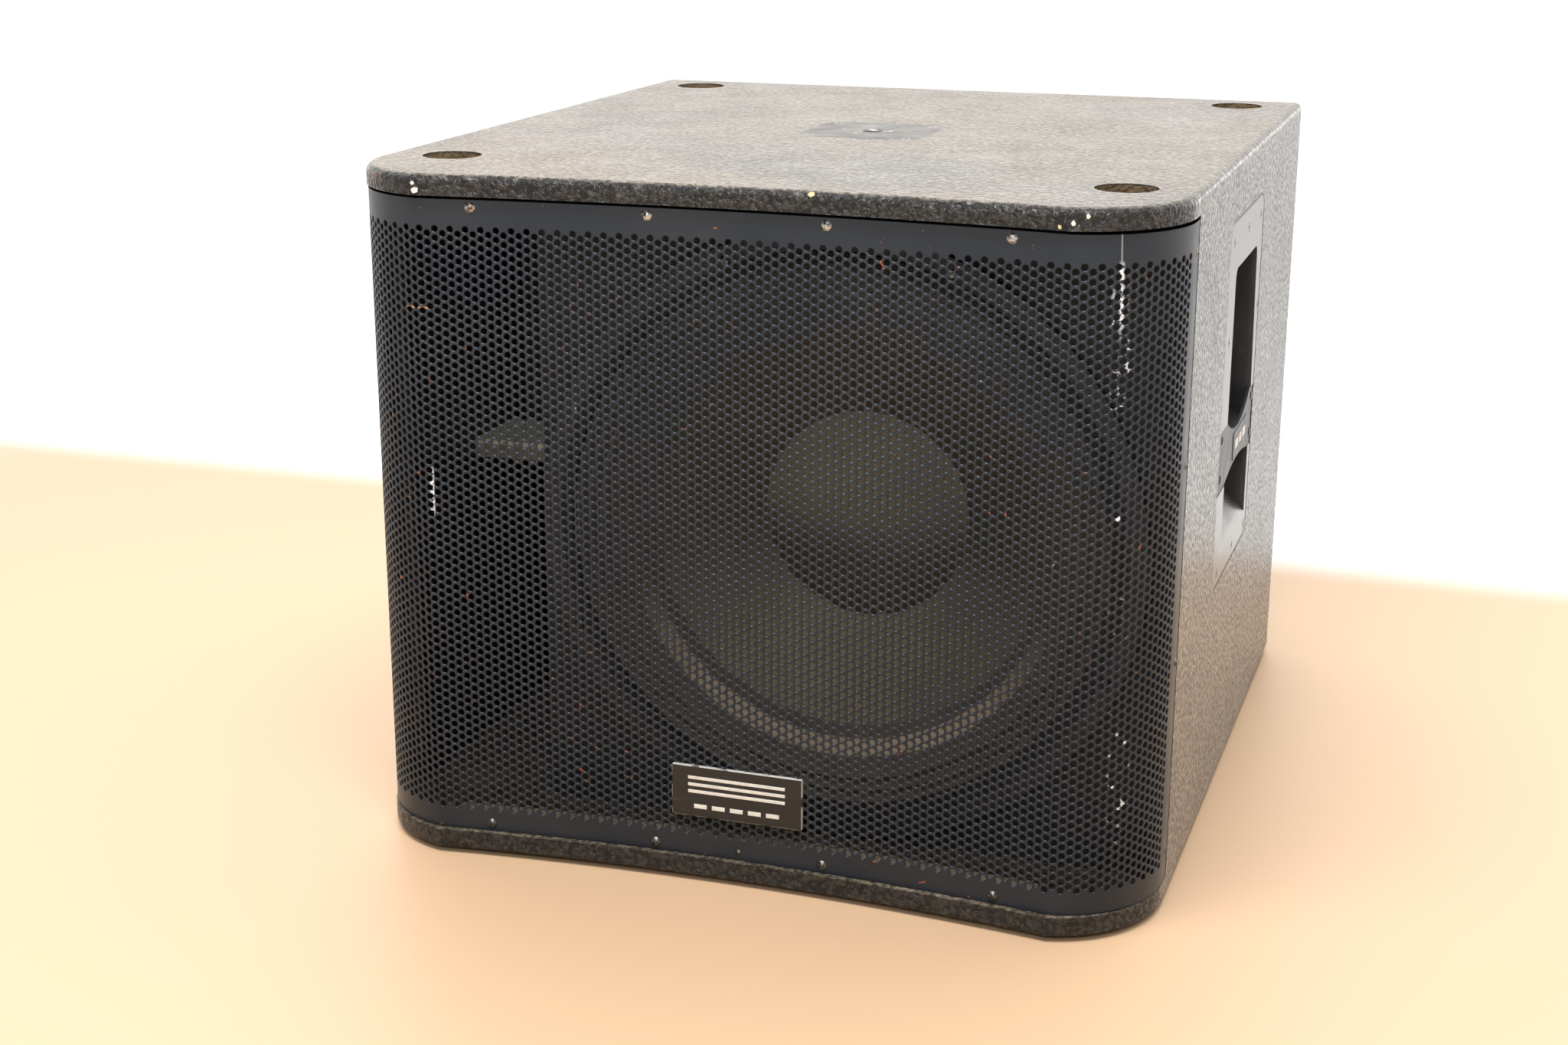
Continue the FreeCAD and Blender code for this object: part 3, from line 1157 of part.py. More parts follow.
def caster_fork(x, z):
    """Swivelling fork: crown round the king pin, two legs and the wheel's axle."""
    crown_y = Y_BACK + CASTER_SHEET + RACE_HEIGHT + CROWN_GAP
    axle_y = Y_BACK + CASTER_HEIGHT - WHEEL_R
    axle_z = z - WHEEL_TRAIL
    outer = FORK_GAP_HALF + FORK_SHEET
    crown = Part.makeCylinder(RACE_R + 2, CROWN_THICK, V(x, crown_y, z), Y_AXIS)
    legs = []
    for side in (-1, 1):
        x_start = x + (FORK_GAP_HALF if side > 0 else -outer)
        leg = prism([V(x_start, crown_y, z + 16), V(x_start, crown_y, z - 20),
                     V(x_start, axle_y - 3, axle_z - 9.5), V(x_start, axle_y + 7, axle_z - 7),
                     V(x_start, axle_y + 9, axle_z + 4)], V(FORK_SHEET, 0, 0))
        boss = rod(V(x_start, axle_y, axle_z), V(x_start + FORK_SHEET, axle_y, axle_z), BOSS_R)
        legs += [leg, boss]
    axle = rod(V(x - outer - 3, axle_y, axle_z), V(x + outer + 3, axle_y, axle_z), AXLE_R)
    head_r, head_h = AXLE_HEAD
    heads = [rod(V(x + side * outer, axle_y, axle_z), V(x + side * (outer + head_h), axle_y, axle_z), head_r)
             for side in (-1, 1)]
    bore = rod(V(x, crown_y, z), V(x, crown_y + CROWN_THICK, z), KING_PIN_R + RUNNING_GAP)
    return crown.fuse(legs + [axle] + heads).cut(bore).removeSplitter()


def caster_wheel(x, z):
    """Wheel with a rounded tread, dished sides and a hub bore."""
    axle_y = Y_BACK + CASTER_HEIGHT - WHEEL_R
    axle_z = z - WHEEL_TRAIL
    start = V(x - WHEEL_HALF_WIDTH, axle_y, axle_z)
    wheel = Part.makeCylinder(WHEEL_R, 2 * WHEEL_HALF_WIDTH, start, X_AXIS)
    rims = [edge for edge in wheel.Edges if edge.Length > 6 * WHEEL_R]
    wheel = wheel.makeFillet(TREAD_ROUND, rims)
    sides = [ring(V(dish_x, axle_y, axle_z), X_AXIS, *DISH_RADII, WHEEL_DISH)
             for dish_x in (x - WHEEL_HALF_WIDTH, x + WHEEL_HALF_WIDTH - WHEEL_DISH)]
    hub_half = FORK_GAP_HALF - 0.5
    hub = rod(V(x - hub_half, axle_y, axle_z), V(x + hub_half, axle_y, axle_z), HUB_R)
    bore = rod(V(x - hub_half, axle_y, axle_z), V(x + hub_half, axle_y, axle_z), AXLE_R + RUNNING_GAP)
    return wheel.cut(sides).fuse(hub).cut(bore).removeSplitter()


# ---- export --------------------------------------------------------------------------------------
def all_pieces():
    """Every node's name and shape."""
    makers = (
        top_panel, bottom_panel, right_panel, back_panel, front_baffle, port_divider, port_brace,
        grille_battens, rubber_feet, foot_screws, front_grille, grille_screws, badge_plate,
        woofer_basket, woofer_gasket, woofer_screws, woofer_surround, woofer_cone, woofer_dust_cap,
        voice_coil, woofer_spider, magnet_top_plate, magnet_ring, magnet_yoke, woofer_terminals,
        right_handle_pan, right_handle_bridge, countersunk_screws, pole_socket, amp_panel, amp_screws,
        heat_sink, amp_circuit_board, board_standoffs, amp_components, fan_housing, fan_rotor,
        gain_knob, input_jacks, output_jacks, indicator_leds, power_inlet, power_switch_bezel,
        power_rocker, woofer_cable, caster_plates, caster_screws)
    pieces = {maker.__name__: maker() for maker in makers}
    for name in ("panel", "handle_pan", "handle_bridge"):
        pieces["left_" + name] = mirrored(pieces["right_" + name])
    for name, z in SWITCH_ZS.items():
        pieces[name] = slide_switch(z)
    for level, z in CASTER_ZS.items():
        for side, sign in CASTER_SIDES.items():
            pieces["caster_fork_%s_%s" % (level, side)] = caster_fork(sign * CASTER_X, z)
            pieces["caster_wheel_%s_%s" % (level, side)] = caster_wheel(sign * CASTER_X, z)
    return pieces


os.makedirs("parts", exist_ok=True)
for node, piece in all_pieces().items():
    piece.exportStep("parts/%s.step" % node)
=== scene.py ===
import json
import math
from functools import partial, reduce

import bmesh
import bpy
import numpy as np
from mathutils import Matrix, Vector


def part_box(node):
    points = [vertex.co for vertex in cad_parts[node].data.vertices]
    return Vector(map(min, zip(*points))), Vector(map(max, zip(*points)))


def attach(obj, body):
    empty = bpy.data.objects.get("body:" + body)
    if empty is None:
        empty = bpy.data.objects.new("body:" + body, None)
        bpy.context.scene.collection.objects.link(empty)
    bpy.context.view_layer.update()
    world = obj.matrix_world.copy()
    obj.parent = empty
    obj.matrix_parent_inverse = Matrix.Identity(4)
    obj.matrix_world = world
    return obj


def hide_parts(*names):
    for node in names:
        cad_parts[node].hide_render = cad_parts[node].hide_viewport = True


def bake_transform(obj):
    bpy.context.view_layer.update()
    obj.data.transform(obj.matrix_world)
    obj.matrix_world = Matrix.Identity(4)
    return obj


# The looks of a floor-standing powered subwoofer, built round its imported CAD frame. Metres, apart
# from the sizes of noise, cells and spots, which are given in millimetres.
# +Z is up, the grille faces -Y, the amplifier and the casters are on the +Y side.

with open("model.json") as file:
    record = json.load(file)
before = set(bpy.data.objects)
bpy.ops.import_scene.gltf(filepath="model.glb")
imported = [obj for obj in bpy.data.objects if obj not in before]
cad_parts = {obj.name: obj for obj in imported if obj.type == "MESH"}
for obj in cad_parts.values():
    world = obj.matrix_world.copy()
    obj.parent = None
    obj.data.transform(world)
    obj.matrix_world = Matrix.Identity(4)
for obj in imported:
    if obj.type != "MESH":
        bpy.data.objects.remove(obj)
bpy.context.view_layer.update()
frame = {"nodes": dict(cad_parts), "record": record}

MM = 0.001

# ---- places read from the frame ----
GRILLE_LOW, GRILLE_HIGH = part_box("front_grille")
BAFFLE_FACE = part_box("front_baffle")[0].y
CAP_LOW, CAP_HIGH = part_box("woofer_dust_cap")
WOOFER_X = (CAP_LOW.x + CAP_HIGH.x) / 2
WOOFER_Z = (CAP_LOW.z + CAP_HIGH.z) / 2
CAP_R = (CAP_HIGH.x - CAP_LOW.x) / 2
BRACE_LOW, BRACE_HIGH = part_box("port_brace")
TOP_LOW, TOP_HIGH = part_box("top_panel")
PAN_LOW, PAN_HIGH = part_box("right_handle_pan")
BADGE_LOW, BADGE_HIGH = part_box("badge_plate")
AMP_LOW, AMP_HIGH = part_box("amp_panel")
KNOB_LOW, KNOB_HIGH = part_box("gain_knob")
INLET_LOW, INLET_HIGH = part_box("power_inlet")

# ---- sizes that the looks share with the CAD model ----
CREASE_X = 235 * MM                  # where the bowed front meets the corner curves
FRONT_BOW = 15 * MM                  # how far the middle of the front is set back
SHEET = 1.2 * MM                     # the grille's steel
JACK_HALF_WIDTH = 13 * MM
JACK_FLOOR = 15.9 * MM               # behind the connector's front face
BRIDGE_PAD_Z = 281.2 * MM            # middle of the flat pad on a handle's bridge
SOCKET_R = 22 * MM                   # the stacking sockets in the top
SOCKET_X = 252 * MM
SOCKET_YS = (-291 * MM, 234 * MM)
POLE_Y = -46 * MM                    # the pole hole's axis


# ---- building materials ----
class Nodes:
    """Short calls for the nodes that the looks and the room's light share."""

    def __init__(self, tree):
        self.tree = tree

    def add(self, kind, **inputs):
        """A node with its inputs set to values or linked to sockets."""
        node = self.tree.nodes.new(kind)
        for name, value in inputs.items():
            self.feed(node.inputs[name.replace("_", " ")], value)
        return node

    def feed(self, socket, value):
        if isinstance(value, bpy.types.NodeSocket):
            self.tree.links.new(value, socket)
        elif isinstance(value, tuple) and socket.type == "RGBA":
            socket.default_value = (*value, 1.0)
        else:
            socket.default_value = value

    def op(self, operation, a, b=0.0, c=0.0, clamp=False):
        """One step of arithmetic."""
        node = self.tree.nodes.new("ShaderNodeMath")
        node.operation = operation
        node.use_clamp = clamp
        for socket, value in zip(node.inputs, (a, b, c)):
            self.feed(socket, value)
        return node.outputs[0]

    def scaled(self, value, factor, start):
        """Start plus factor times value."""
        return self.op("MULTIPLY_ADD", value, factor, start)

    def length(self, a, b):
        """Length of the slope over two runs at right angles."""
        return self.op("SQRT", self.op("ADD", self.both(a, a), self.both(b, b)))

    def ramp(self, value, low, high, start=0.0, end=1.0):
        """Smoothly from start at low to end at high."""
        node = self.add("ShaderNodeMapRange", Value=value, From_Min=low, From_Max=high,
                        To_Min=start, To_Max=end)
        node.interpolation_type = "SMOOTHSTEP"
        return node.outputs["Result"]

    def fall(self, value, low, high):
        """Smoothly from 1 at low to 0 at high."""
        return self.ramp(value, low, high, 1.0, 0.0)

    def gap(self, value, middle):
        """How far a value is from a middle."""
        return self.op("ABSOLUTE", self.op("SUBTRACT", value, middle))

    def band(self, value, middle, half, soft):
        """1 within half of middle, fading out over soft."""
        return self.fall(self.gap(value, middle), half, half + soft)

    def either(self, *masks):
        """The largest of several masks."""
        return reduce(partial(self.op, "MAXIMUM"), masks)

    def both(self, *masks):
        """The product of several masks."""
        return reduce(partial(self.op, "MULTIPLY"), masks)


class Look(Nodes):
    """A material in the making."""

    def __init__(self, name, roughness=0.5, metallic=0.0):
        self.material = bpy.data.materials.new(name)
        self.material.use_nodes = True
        super().__init__(self.material.node_tree)
        self.shader = self.tree.nodes["Principled BSDF"]
        self.place = self.add("ShaderNodeTexCoord").outputs["Object"]
        self.x, self.y, self.z = self.add("ShaderNodeSeparateXYZ", Vector=self.place).outputs
        self.set("Roughness", roughness)
        self.set("Metallic", metallic)

    def set(self, name, value):
        self.feed(self.shader.inputs[name], value)

    def mix(self, share, a, b):
        """Colour a where share is 0 and colour b where it is 1."""
        node = self.tree.nodes.new("ShaderNodeMix")
        node.data_type = "RGBA"
        for index, value in ((0, share), (6, a), (7, b)):
            self.feed(node.inputs[index], value)
        return node.outputs[2]

    def tint(self, share, a, b):
        """The colour of the surface: a where share is 0 and b where it is 1."""
        self.set("Base Color", self.mix(share, a, b))

    def matt(self, value, factor, start):
        """The roughness: start plus factor times value."""
        self.set("Roughness", self.scaled(value, factor, start))

    def noise(self, size, detail=2.0, rough=0.5, stretch=(1.0, 1.0, 1.0)):
        """Cloudy noise whose blots are about size millimetres across."""
        place = self.add("ShaderNodeMapping", Vector=self.place, Scale=stretch).outputs[0]
        return self.add("ShaderNodeTexNoise", Vector=place, Scale=0.5 / (size * MM), Detail=detail,
                        Roughness=rough).outputs["Fac"]

    def cells(self, size):
        """Distance from the middles of cells about size millimetres across."""
        node = self.add("ShaderNodeTexVoronoi", Vector=self.place, Scale=1.0 / (size * MM))
        return node.outputs["Distance"]

    def waves(self, value, length):
        """From -1 to 1 and back over each length."""
        return self.op("SINE", self.op("MULTIPLY", value, 2 * math.pi / length))

    def upward(self, low=0.75, high=0.95):
        """1 on faces that look up."""
        normal = self.add("ShaderNodeNewGeometry").outputs["Normal"]
        return self.ramp(self.add("ShaderNodeSeparateXYZ", Vector=normal).outputs["Z"], low, high)

    def spots(self, *rows):
        """1 near any of several points, given as X, Y, Z, radius (millimetres) and raggedness."""
        found = []
        for *point, radius, ragged in rows:
            gap = self.tree.nodes.new("ShaderNodeVectorMath")
            gap.operation = "DISTANCE"
            self.feed(gap.inputs[0], self.place)
            self.feed(gap.inputs[1], Vector(point) * MM)
            blot = self.both(self.noise(radius * 0.5, 3.0), ragged * radius * MM)
            reach = self.op("ADD", gap.outputs["Value"], blot)
            found.append(self.fall(reach, radius * MM, radius * 1.12 * MM))
        return self.either(*found)

    def polar(self):
        """Radius and angle about the woofer's axis."""
        x = self.op("SUBTRACT", self.x, WOOFER_X)
        z = self.op("SUBTRACT", self.z, WOOFER_Z)
        return self.length(x, z), self.op("ARCTAN2", z, x)

    def bump(self, height, depth, strength=1.0):
        """Bump of the surface, depth metres deep where height goes from 0 to 1."""
        node = self.add("ShaderNodeBump", Height=height, Strength=strength, Distance=depth)
        previous = self.shader.inputs["Normal"]
        if previous.links:
            self.tree.links.new(previous.links[0].from_socket, node.inputs["Normal"])
        self.tree.links.new(node.outputs["Normal"], previous)


# ---- looks, one for each material slot of the record ----
def textured_paint(name):
    """Thick black spatter paint on plywood: dusty on top, scuffed, with a few chips down to the wood; the
    side faces are glossier and carry a lighter film, a painted sheen.
    """
    look = Look(name)
    spatter = look.ramp(look.noise(2.0, 2.5, 0.55), 0.34, 0.66)
    grain = look.noise(1.0, 3.0, 0.6)
    lumps = look.noise(4.5, 3.0, 0.6)
    relief = look.scaled(spatter, 0.75, look.both(grain, 0.35))
    look.bump(look.scaled(lumps, 1.3, relief), 1.1 * MM)

    patches = look.ramp(look.noise(70, 4.0, 0.6), 0.35, 0.7)
    wiped = look.ramp(look.noise(150, 3.0, 0.5, (1.0, 2.2, 1.0)), 0.5, 0.62)
    settled = look.both(look.upward(), look.scaled(patches, 0.3, 0.42))
    settled = look.both(settled, look.scaled(wiped, -0.5, 1.0))
    from_middle = look.op("ABSOLUTE", look.x)
    # Painted sheen on the side faces: a lighter film stands in for their bright grazing reflection; they
    # also get more specular and a coat.
    side_sheen = look.ramp(from_middle, TOP_HIGH.x - 1.0 * MM, TOP_HIGH.x - 0.5 * MM)
    film = look.either(look.both(settled, look.scaled(spatter, 0.8, 0.2)),
                       look.both(look.scaled(patches, 0.6, 0.4), grain,
                                 look.scaled(side_sheen, 0.1, 0.03)))
    paint = look.mix(look.noise(6, 4.0, 0.65), (0.009, 0.009, 0.010), (0.026, 0.025, 0.024))
    dust = look.mix(look.noise(4, 3.0, 0.7), (0.32, 0.225, 0.14), (0.24, 0.215, 0.16))
    paint = look.mix(film, paint, dust)

    rubbed = look.both(look.ramp(look.noise(9, 4.0, 0.7), 0.60, 0.68),
                       look.band(look.z, TOP_HIGH.z - 7 * MM, 7 * MM, 1 * MM), 0.35)
    paint = look.mix(rubbed, paint, (0.16, 0.155, 0.15))

    left, right, rim, top = TOP_LOW.x / MM, TOP_HIGH.x / MM, TOP_LOW.y / MM, TOP_HIGH.z / MM
    lighter_tone = look.spots((-232.4, rim, top - 11, 4.2, 1.0), (-234, rim, top - 6.5, 2.4, 1.0),
                      (236.8, rim, top - 10, 3.4, 1.5), (245.5, rim + 3, top - 5, 3.0, 1.4))
    tan = look.spots((55, rim + 15, top - 1.5, 4.0, 0.9), (228, rim + 1, top - 12.5, 3.0, 1.3),
                     (right, rim + 88, top - 5, 3.2, 1.2))
    brown = look.spots((-274, rim + 20, top - 6, 6, 1.2), (left, rim + 95, 60, 8, 1.2))
    across = look.op("SUBTRACT", from_middle, SOCKET_X)
    along = look.op("SUBTRACT", look.gap(look.y, sum(SOCKET_YS) / 2), (SOCKET_YS[1] - SOCKET_YS[0]) / 2)
    reach = look.length(across, along)
    in_socket = look.both(look.fall(reach, SOCKET_R + 0.2 * MM, SOCKET_R + 0.5 * MM),
                          look.fall(look.z, TOP_HIGH.z - 1.2 * MM, TOP_HIGH.z - 0.6 * MM))
    layers = look.noise(1.2, 2.0, 0.5, (0.12, 0.12, 1.0))
    wood = look.mix(layers, (0.13, 0.085, 0.045), (0.30, 0.22, 0.13))
    wood = look.mix(look.noise(9, 3.0), wood, (0.07, 0.052, 0.035))
    paint = look.mix(in_socket, paint, wood)
    paint = look.mix(tan, paint, (0.62, 0.50, 0.26))
    paint = look.mix(brown, paint, (0.16, 0.075, 0.05))
    paint = look.mix(lighter_tone, paint, (0.88, 0.84, 0.70))
    look.set("Base Color", paint)

    chipped = look.either(in_socket, lighter_tone, tan)
    cavities = look.op("ADD", look.scaled(spatter, 0.3, 0.1), look.both(grain, 0.4))
    cavities = look.both(cavities, look.scaled(spatter, 0.7, 0.55))
    cavities = look.both(cavities, look.scaled(side_sheen, 0.5, 0.8))
    look.set("Coat Weight", look.both(side_sheen, look.scaled(spatter, 0.8, 0.05)))
    look.set("Coat Roughness", 0.3)
    look.set("Specular IOR Level", look.both(cavities, look.scaled(chipped, -0.8, 1.0)))
    gloss = look.scaled(look.noise(30, 4.0, 0.6), 0.2, 0.2)
    gloss = look.op("ADD", gloss, look.both(film, 0.2))
    gloss = look.op("ADD", gloss, look.both(chipped, 0.4), clamp=True)
    look.set("Roughness", gloss)
    return look.material


def flat_black_paint(name):
    """Thin rolled black paint that shows a little of the plywood's grain; on the port brace, painted
    light: a lit top, a painted highlight along its front edge and a lighter front face.
    """
    look = Look(name, roughness=0.75)
    grain = look.noise(2.2, 4.0, 0.6, (0.15, 1.0, 1.0))
    paint = look.mix(look.noise(40, 4.0), (0.012, 0.012, 0.012), (0.034, 0.032, 0.029))
    dust = look.both(look.upward(0.5, 0.9), look.ramp(look.noise(30, 4.0), 0.3, 0.6), 0.8)
    paint = look.mix(dust, paint, (0.62, 0.53, 0.38))
    # Painted light on the port brace: its top and a strip along its front edge are much lighter, as if
    # lit, and the rest of its front is a little lighter.
    on_brace = look.both(look.fall(look.x, BRACE_HIGH.x, BRACE_HIGH.x + 0.5 * MM),
                         look.band(look.z, (BRACE_LOW.z + BRACE_HIGH.z) / 2, 8 * MM, 0.5 * MM),
                         look.ramp(look.y, BRACE_LOW.y - 1 * MM, BRACE_LOW.y - 0.5 * MM),
                         look.fall(look.y, BRACE_HIGH.y, BRACE_HIGH.y + 1 * MM))
    edge = look.both(look.ramp(look.z, BRACE_HIGH.z - 5 * MM, BRACE_HIGH.z - 3 * MM),
                     look.fall(look.y, BRACE_LOW.y + 2 * MM, BRACE_LOW.y + 4 * MM))
    lighter_tone = look.mix(look.either(edge, look.upward(0.5, 0.9)), (0.30, 0.26, 0.20), (0.90, 0.82, 0.66))
    look.tint(look.both(on_brace, look.scaled(grain, 0.6, 0.5)), paint, lighter_tone)
    look.bump(grain, 0.25 * MM)
    return look.material


def grille_steel(name):
    """Satin powder coat, worn along its most prominent lines, with a few chips and rusty pinholes; a
    painted shadow in black along its top edge, under the rim.
    """
    look = Look(name)
    right = look.ramp(look.op("SIGN", look.x), 0.0, 0.1)
    left = look.op("SUBTRACT", 1.0, right)
    ragged = look.ramp(look.noise(1.5, 3.0, 0.6), 0.44, 0.54)
    sparse = look.ramp(look.noise(3.0, 3.0, 0.6), 0.60, 0.66)
    crest = look.scaled(look.z, -0.03, 280.5 * MM)      # the right corner's worn line leans in a little
    narrow = look.both(right, look.band(look.x, crest, 0.6 * MM, 1.6 * MM))
    upper = look.both(narrow, look.ramp(look.z, 425 * MM, 450 * MM),
                      look.fall(look.z, 478 * MM, 483 * MM), ragged)
    hairline = look.both(right, look.band(look.x, crest, 0.25 * MM, 0.4 * MM),
                         look.ramp(look.z, 478 * MM, 483 * MM), 0.3)
    stretches = look.either(look.band(look.z, 115 * MM, 40 * MM, 20 * MM),
                            look.band(look.z, 240 * MM, 10 * MM, 10 * MM),
                            look.band(look.z, 420 * MM, 30 * MM, 20 * MM))
    broad = look.both(right, look.band(look.x, crest, 4.5 * MM, 3 * MM), sparse, stretches, 0.8)
    stretches = look.either(look.both(look.band(look.z, 285 * MM, 14 * MM, 6 * MM), ragged),
                            look.both(look.band(look.z, 413 * MM, 20 * MM, 10 * MM), sparse))
    left_line = look.both(left, look.band(look.x, -231 * MM, 0.9 * MM, 1.2 * MM), stretches)
    worn = look.either(upper, hairline, broad, left_line)
    chips = look.spots((270.8, -371.2, 308, 4.6, 1.3), (231.4, -385.5, 275.5, 2.4, 1.2),
                       (176, -378.5, 397, 2.4, 1.5), (269.4, -372.5, 385, 1.9, 1.0))
    scratch = look.both(look.band(look.z, 421 * MM, 0.5 * MM, 0.5 * MM),
                        look.band(look.x, -236.7 * MM, 8 * MM, 2 * MM), 0.6)
    rust = look.ramp(look.noise(3.0, 2.0, 0.6), 0.72, 0.75)
    dust = look.both(look.ramp(look.noise(60, 4.0, 0.6), 0.4, 0.7), 0.04)
    coat = look.mix(look.noise(25, 4.0), (0.009, 0.0138, 0.021), (0.014, 0.020, 0.029))
    coat = look.mix(dust, coat, (0.19, 0.175, 0.15))
    coat = look.mix(look.both(rust, 0.8), coat, (0.30, 0.075, 0.025))
    coat = look.mix(scratch, coat, (0.55, 0.30, 0.12))
    coat = look.mix(look.either(worn, chips), coat, (0.72, 0.73, 0.76))
    # Painted shadow: the top strip of the sheet, under the cabinet's rim, is near black with no
    # reflection.
    painted_shadow_gap = look.ramp(look.z, GRILLE_HIGH.z - 2.6 * MM, GRILLE_HIGH.z - 1.8 * MM)
    look.tint(painted_shadow_gap, coat, (0.001, 0.001, 0.001))
    look.set("Specular IOR Level", look.ramp(painted_shadow_gap, 0.0, 1.0, 0.36, 0.0))
    look.matt(look.noise(18, 4.0, 0.6), 0.22, 0.27)
    look.bump(look.noise(0.9, 2.0), 0.05 * MM, 0.7)
    return look.material


def badge_plastic(name):
    """Black plate, fine scratches, its edge rubbed bright."""
    look = Look(name)
    middle = (BADGE_LOW + BADGE_HIGH) / 2
    half = (BADGE_HIGH - BADGE_LOW) / 2
    from_side = look.op("SUBTRACT", half.x, look.gap(look.x, middle.x))
    from_end = look.op("SUBTRACT", half.z, look.gap(look.z, middle.z))
    rim = look.fall(look.op("MINIMUM", from_side, from_end), 0.35 * MM, 0.75 * MM)
    rubbed = look.both(rim, look.ramp(look.noise(6, 3.0), 0.38, 0.5))
    scratches = look.ramp(look.noise(1.2, 2.0, 0.5, (0.08, 1.0, 1.0)), 0.62, 0.7)
    black = look.mix(look.both(scratches, 0.2), (0.010, 0.011, 0.013), (0.10, 0.10, 0.105))
    look.tint(rubbed, black, (0.42, 0.40, 0.36))
    look.matt(look.noise(8, 3.0), 0.15, 0.24)
    return look.material


def clouded(name, clouds, dark, light, gloss=None, relief=None, **finish):
    """Two tones in clouds, uneven gloss and a fine relief, each one a noise and how far it reaches."""
    look = Look(name, **finish)
    look.tint(look.noise(*clouds), dark, light)
    if gloss:
        look.matt(look.noise(*gloss[0]), *gloss[1])
    if relief:
        look.bump(look.noise(*relief[0]), relief[1])
    return look.material


def mark_paint(name):
    """Off-white printed marks."""
    return clouded(name, (2, 3.0), (0.56, 0.54, 0.48), (0.80, 0.78, 0.72), roughness=0.45)


def worn_screws(name):
    """Blackened screws: those along the top of the front are rubbed bright, the others stay dark."""
    look = Look(name, metallic=0.9)
    high = look.both(look.ramp(look.z, 300 * MM, 460 * MM), look.fall(look.y, -310 * MM, -300 * MM))
    bright = look.both(look.ramp(look.noise(1.3, 3.0, 0.6), 0.36, 0.6), look.scaled(high, 0.75, 0.2))
    metal = look.mix(bright, (0.045, 0.044, 0.043), (0.62, 0.60, 0.57))
    look.tint(look.ramp(look.noise(1.7), 0.64, 0.7), metal, (0.20, 0.10, 0.05))
    look.matt(look.noise(1.0, 3.0), 0.3, 0.2)
    look.bump(look.noise(0.5, 2.0), 0.06 * MM)
    return look.material


def cast_frame(name):
    """Powder-coated casting with the sand's fine grain under the coat."""
    return clouded(name, (20, 4.0), (0.016, 0.016, 0.018), (0.040, 0.040, 0.042),
                   ((6, 3.0), (0.2, 0.42)), ((1.0, 3.0, 0.6), 0.22 * MM))


def gasket_foam(name):
    """Matt foam with open pores."""
    look = Look(name, roughness=0.95)
    pores = look.cells(1.0)
    look.tint(pores, (0.008, 0.008, 0.008), (0.035, 0.034, 0.033))
    look.bump(pores, 0.4 * MM)
    return look.material


def cloth_threads(look, thread, turns):
    """Height of a weave laid round the woofer's axis: threads along the circles and across them."""
    radius, angle = look.polar()
    spokes = look.op("SINE", look.both(angle, turns))
    return look.scaled(look.both(look.waves(radius, thread), spokes), 0.5, 0.5)


def surround_cloth(name):
    """Pleated cloth with a dark rubbery dressing, dust lying in its folds, and painted light: a lighter
    ring on the lower, up-facing part of the glued lip.
    """
    look = Look(name)
    weave = cloth_threads(look, 1.1 * MM, 900)
    patches = look.noise(35, 4.0, 0.6)
    cloth = look.mix(look.both(weave, patches), (0.030, 0.027, 0.023), (0.12, 0.105, 0.085))
    # Painted light: a much lighter ring on the glued lip where it faces up, at the lower part of the
    # cone.
    lip = look.both(look.band(look.polar()[0], 164 * MM, 4.5 * MM, 2 * MM), look.upward(0.15, 0.55))
    cloth = look.mix(look.both(look.upward(0.1, 0.9), patches), cloth, (0.22, 0.19, 0.15))
    look.tint(lip, cloth, (0.50, 0.42, 0.31))
    look.matt(patches, 0.3, 0.5)
    look.set("Sheen Weight", 0.15)
    look.bump(weave, 0.22 * MM)
    return look.material


def cone_paper(name):
    """Dark pulp paper: fibres, faint radial streaks, and a lighter tone where it faces up: dust, and
    painted light from above on the cone's lower half and the cap's upper half.
    """
    look = Look(name)
    radius, angle = look.polar()
    streak_place = look.add("ShaderNodeCombineXYZ", X=look.both(angle, 26.0),
                            Y=look.both(radius, 14.0)).outputs[0]
    streaks = look.add("ShaderNodeTexNoise", Vector=streak_place, Scale=1.0, Detail=3.0).outputs["Fac"]
    fibres = look.noise(1.3, 4.0, 0.7)
    pulp = look.mix(look.scaled(streaks, 0.6, look.both(fibres, 0.4)),
                    (0.030, 0.028, 0.022), (0.085, 0.078, 0.060))
    on_cap = look.fall(radius, CAP_R, CAP_R + 0.5 * MM)
    # Lighter where it faces up, on the cone's lower half and the cap's upper half: dust, and painted
    # light from above.
    settled = look.either(look.upward(0.0, 0.6), look.both(on_cap, look.upward(-0.25, 0.25)))
    dust = look.both(settled, look.ramp(look.noise(45, 4.0), 0.2, 0.6, 0.55, 1.0), 0.75)
    look.tint(dust, pulp, (0.29, 0.26, 0.17))
    look.matt(fibres, 0.25, 0.55)
    look.bump(fibres, 0.25 * MM)
    return look.material


def spider_cloth(name):
    """Resin-dipped cotton, amber, with an open weave."""
    look = Look(name, roughness=0.6)
    weave = cloth_threads(look, 0.9 * MM, 420)
    look.tint(weave, (0.26, 0.15, 0.05), (0.66, 0.45, 0.22))
    look.bump(weave, 0.2 * MM)
    return look.material


def coil_metal(name):
    """Enamelled copper wound on a brown former."""
    look = Look(name, roughness=0.35)
    wire = look.ramp(look.y, BAFFLE_FACE + 135.5 * MM, BAFFLE_FACE + 136.5 * MM)
    look.tint(wire, (0.20, 0.11, 0.05), (0.80, 0.36, 0.16))
    look.set("Metallic", wire)
    look.bump(look.both(look.waves(look.y, 0.5 * MM), wire), 0.1 * MM)
    return look.material


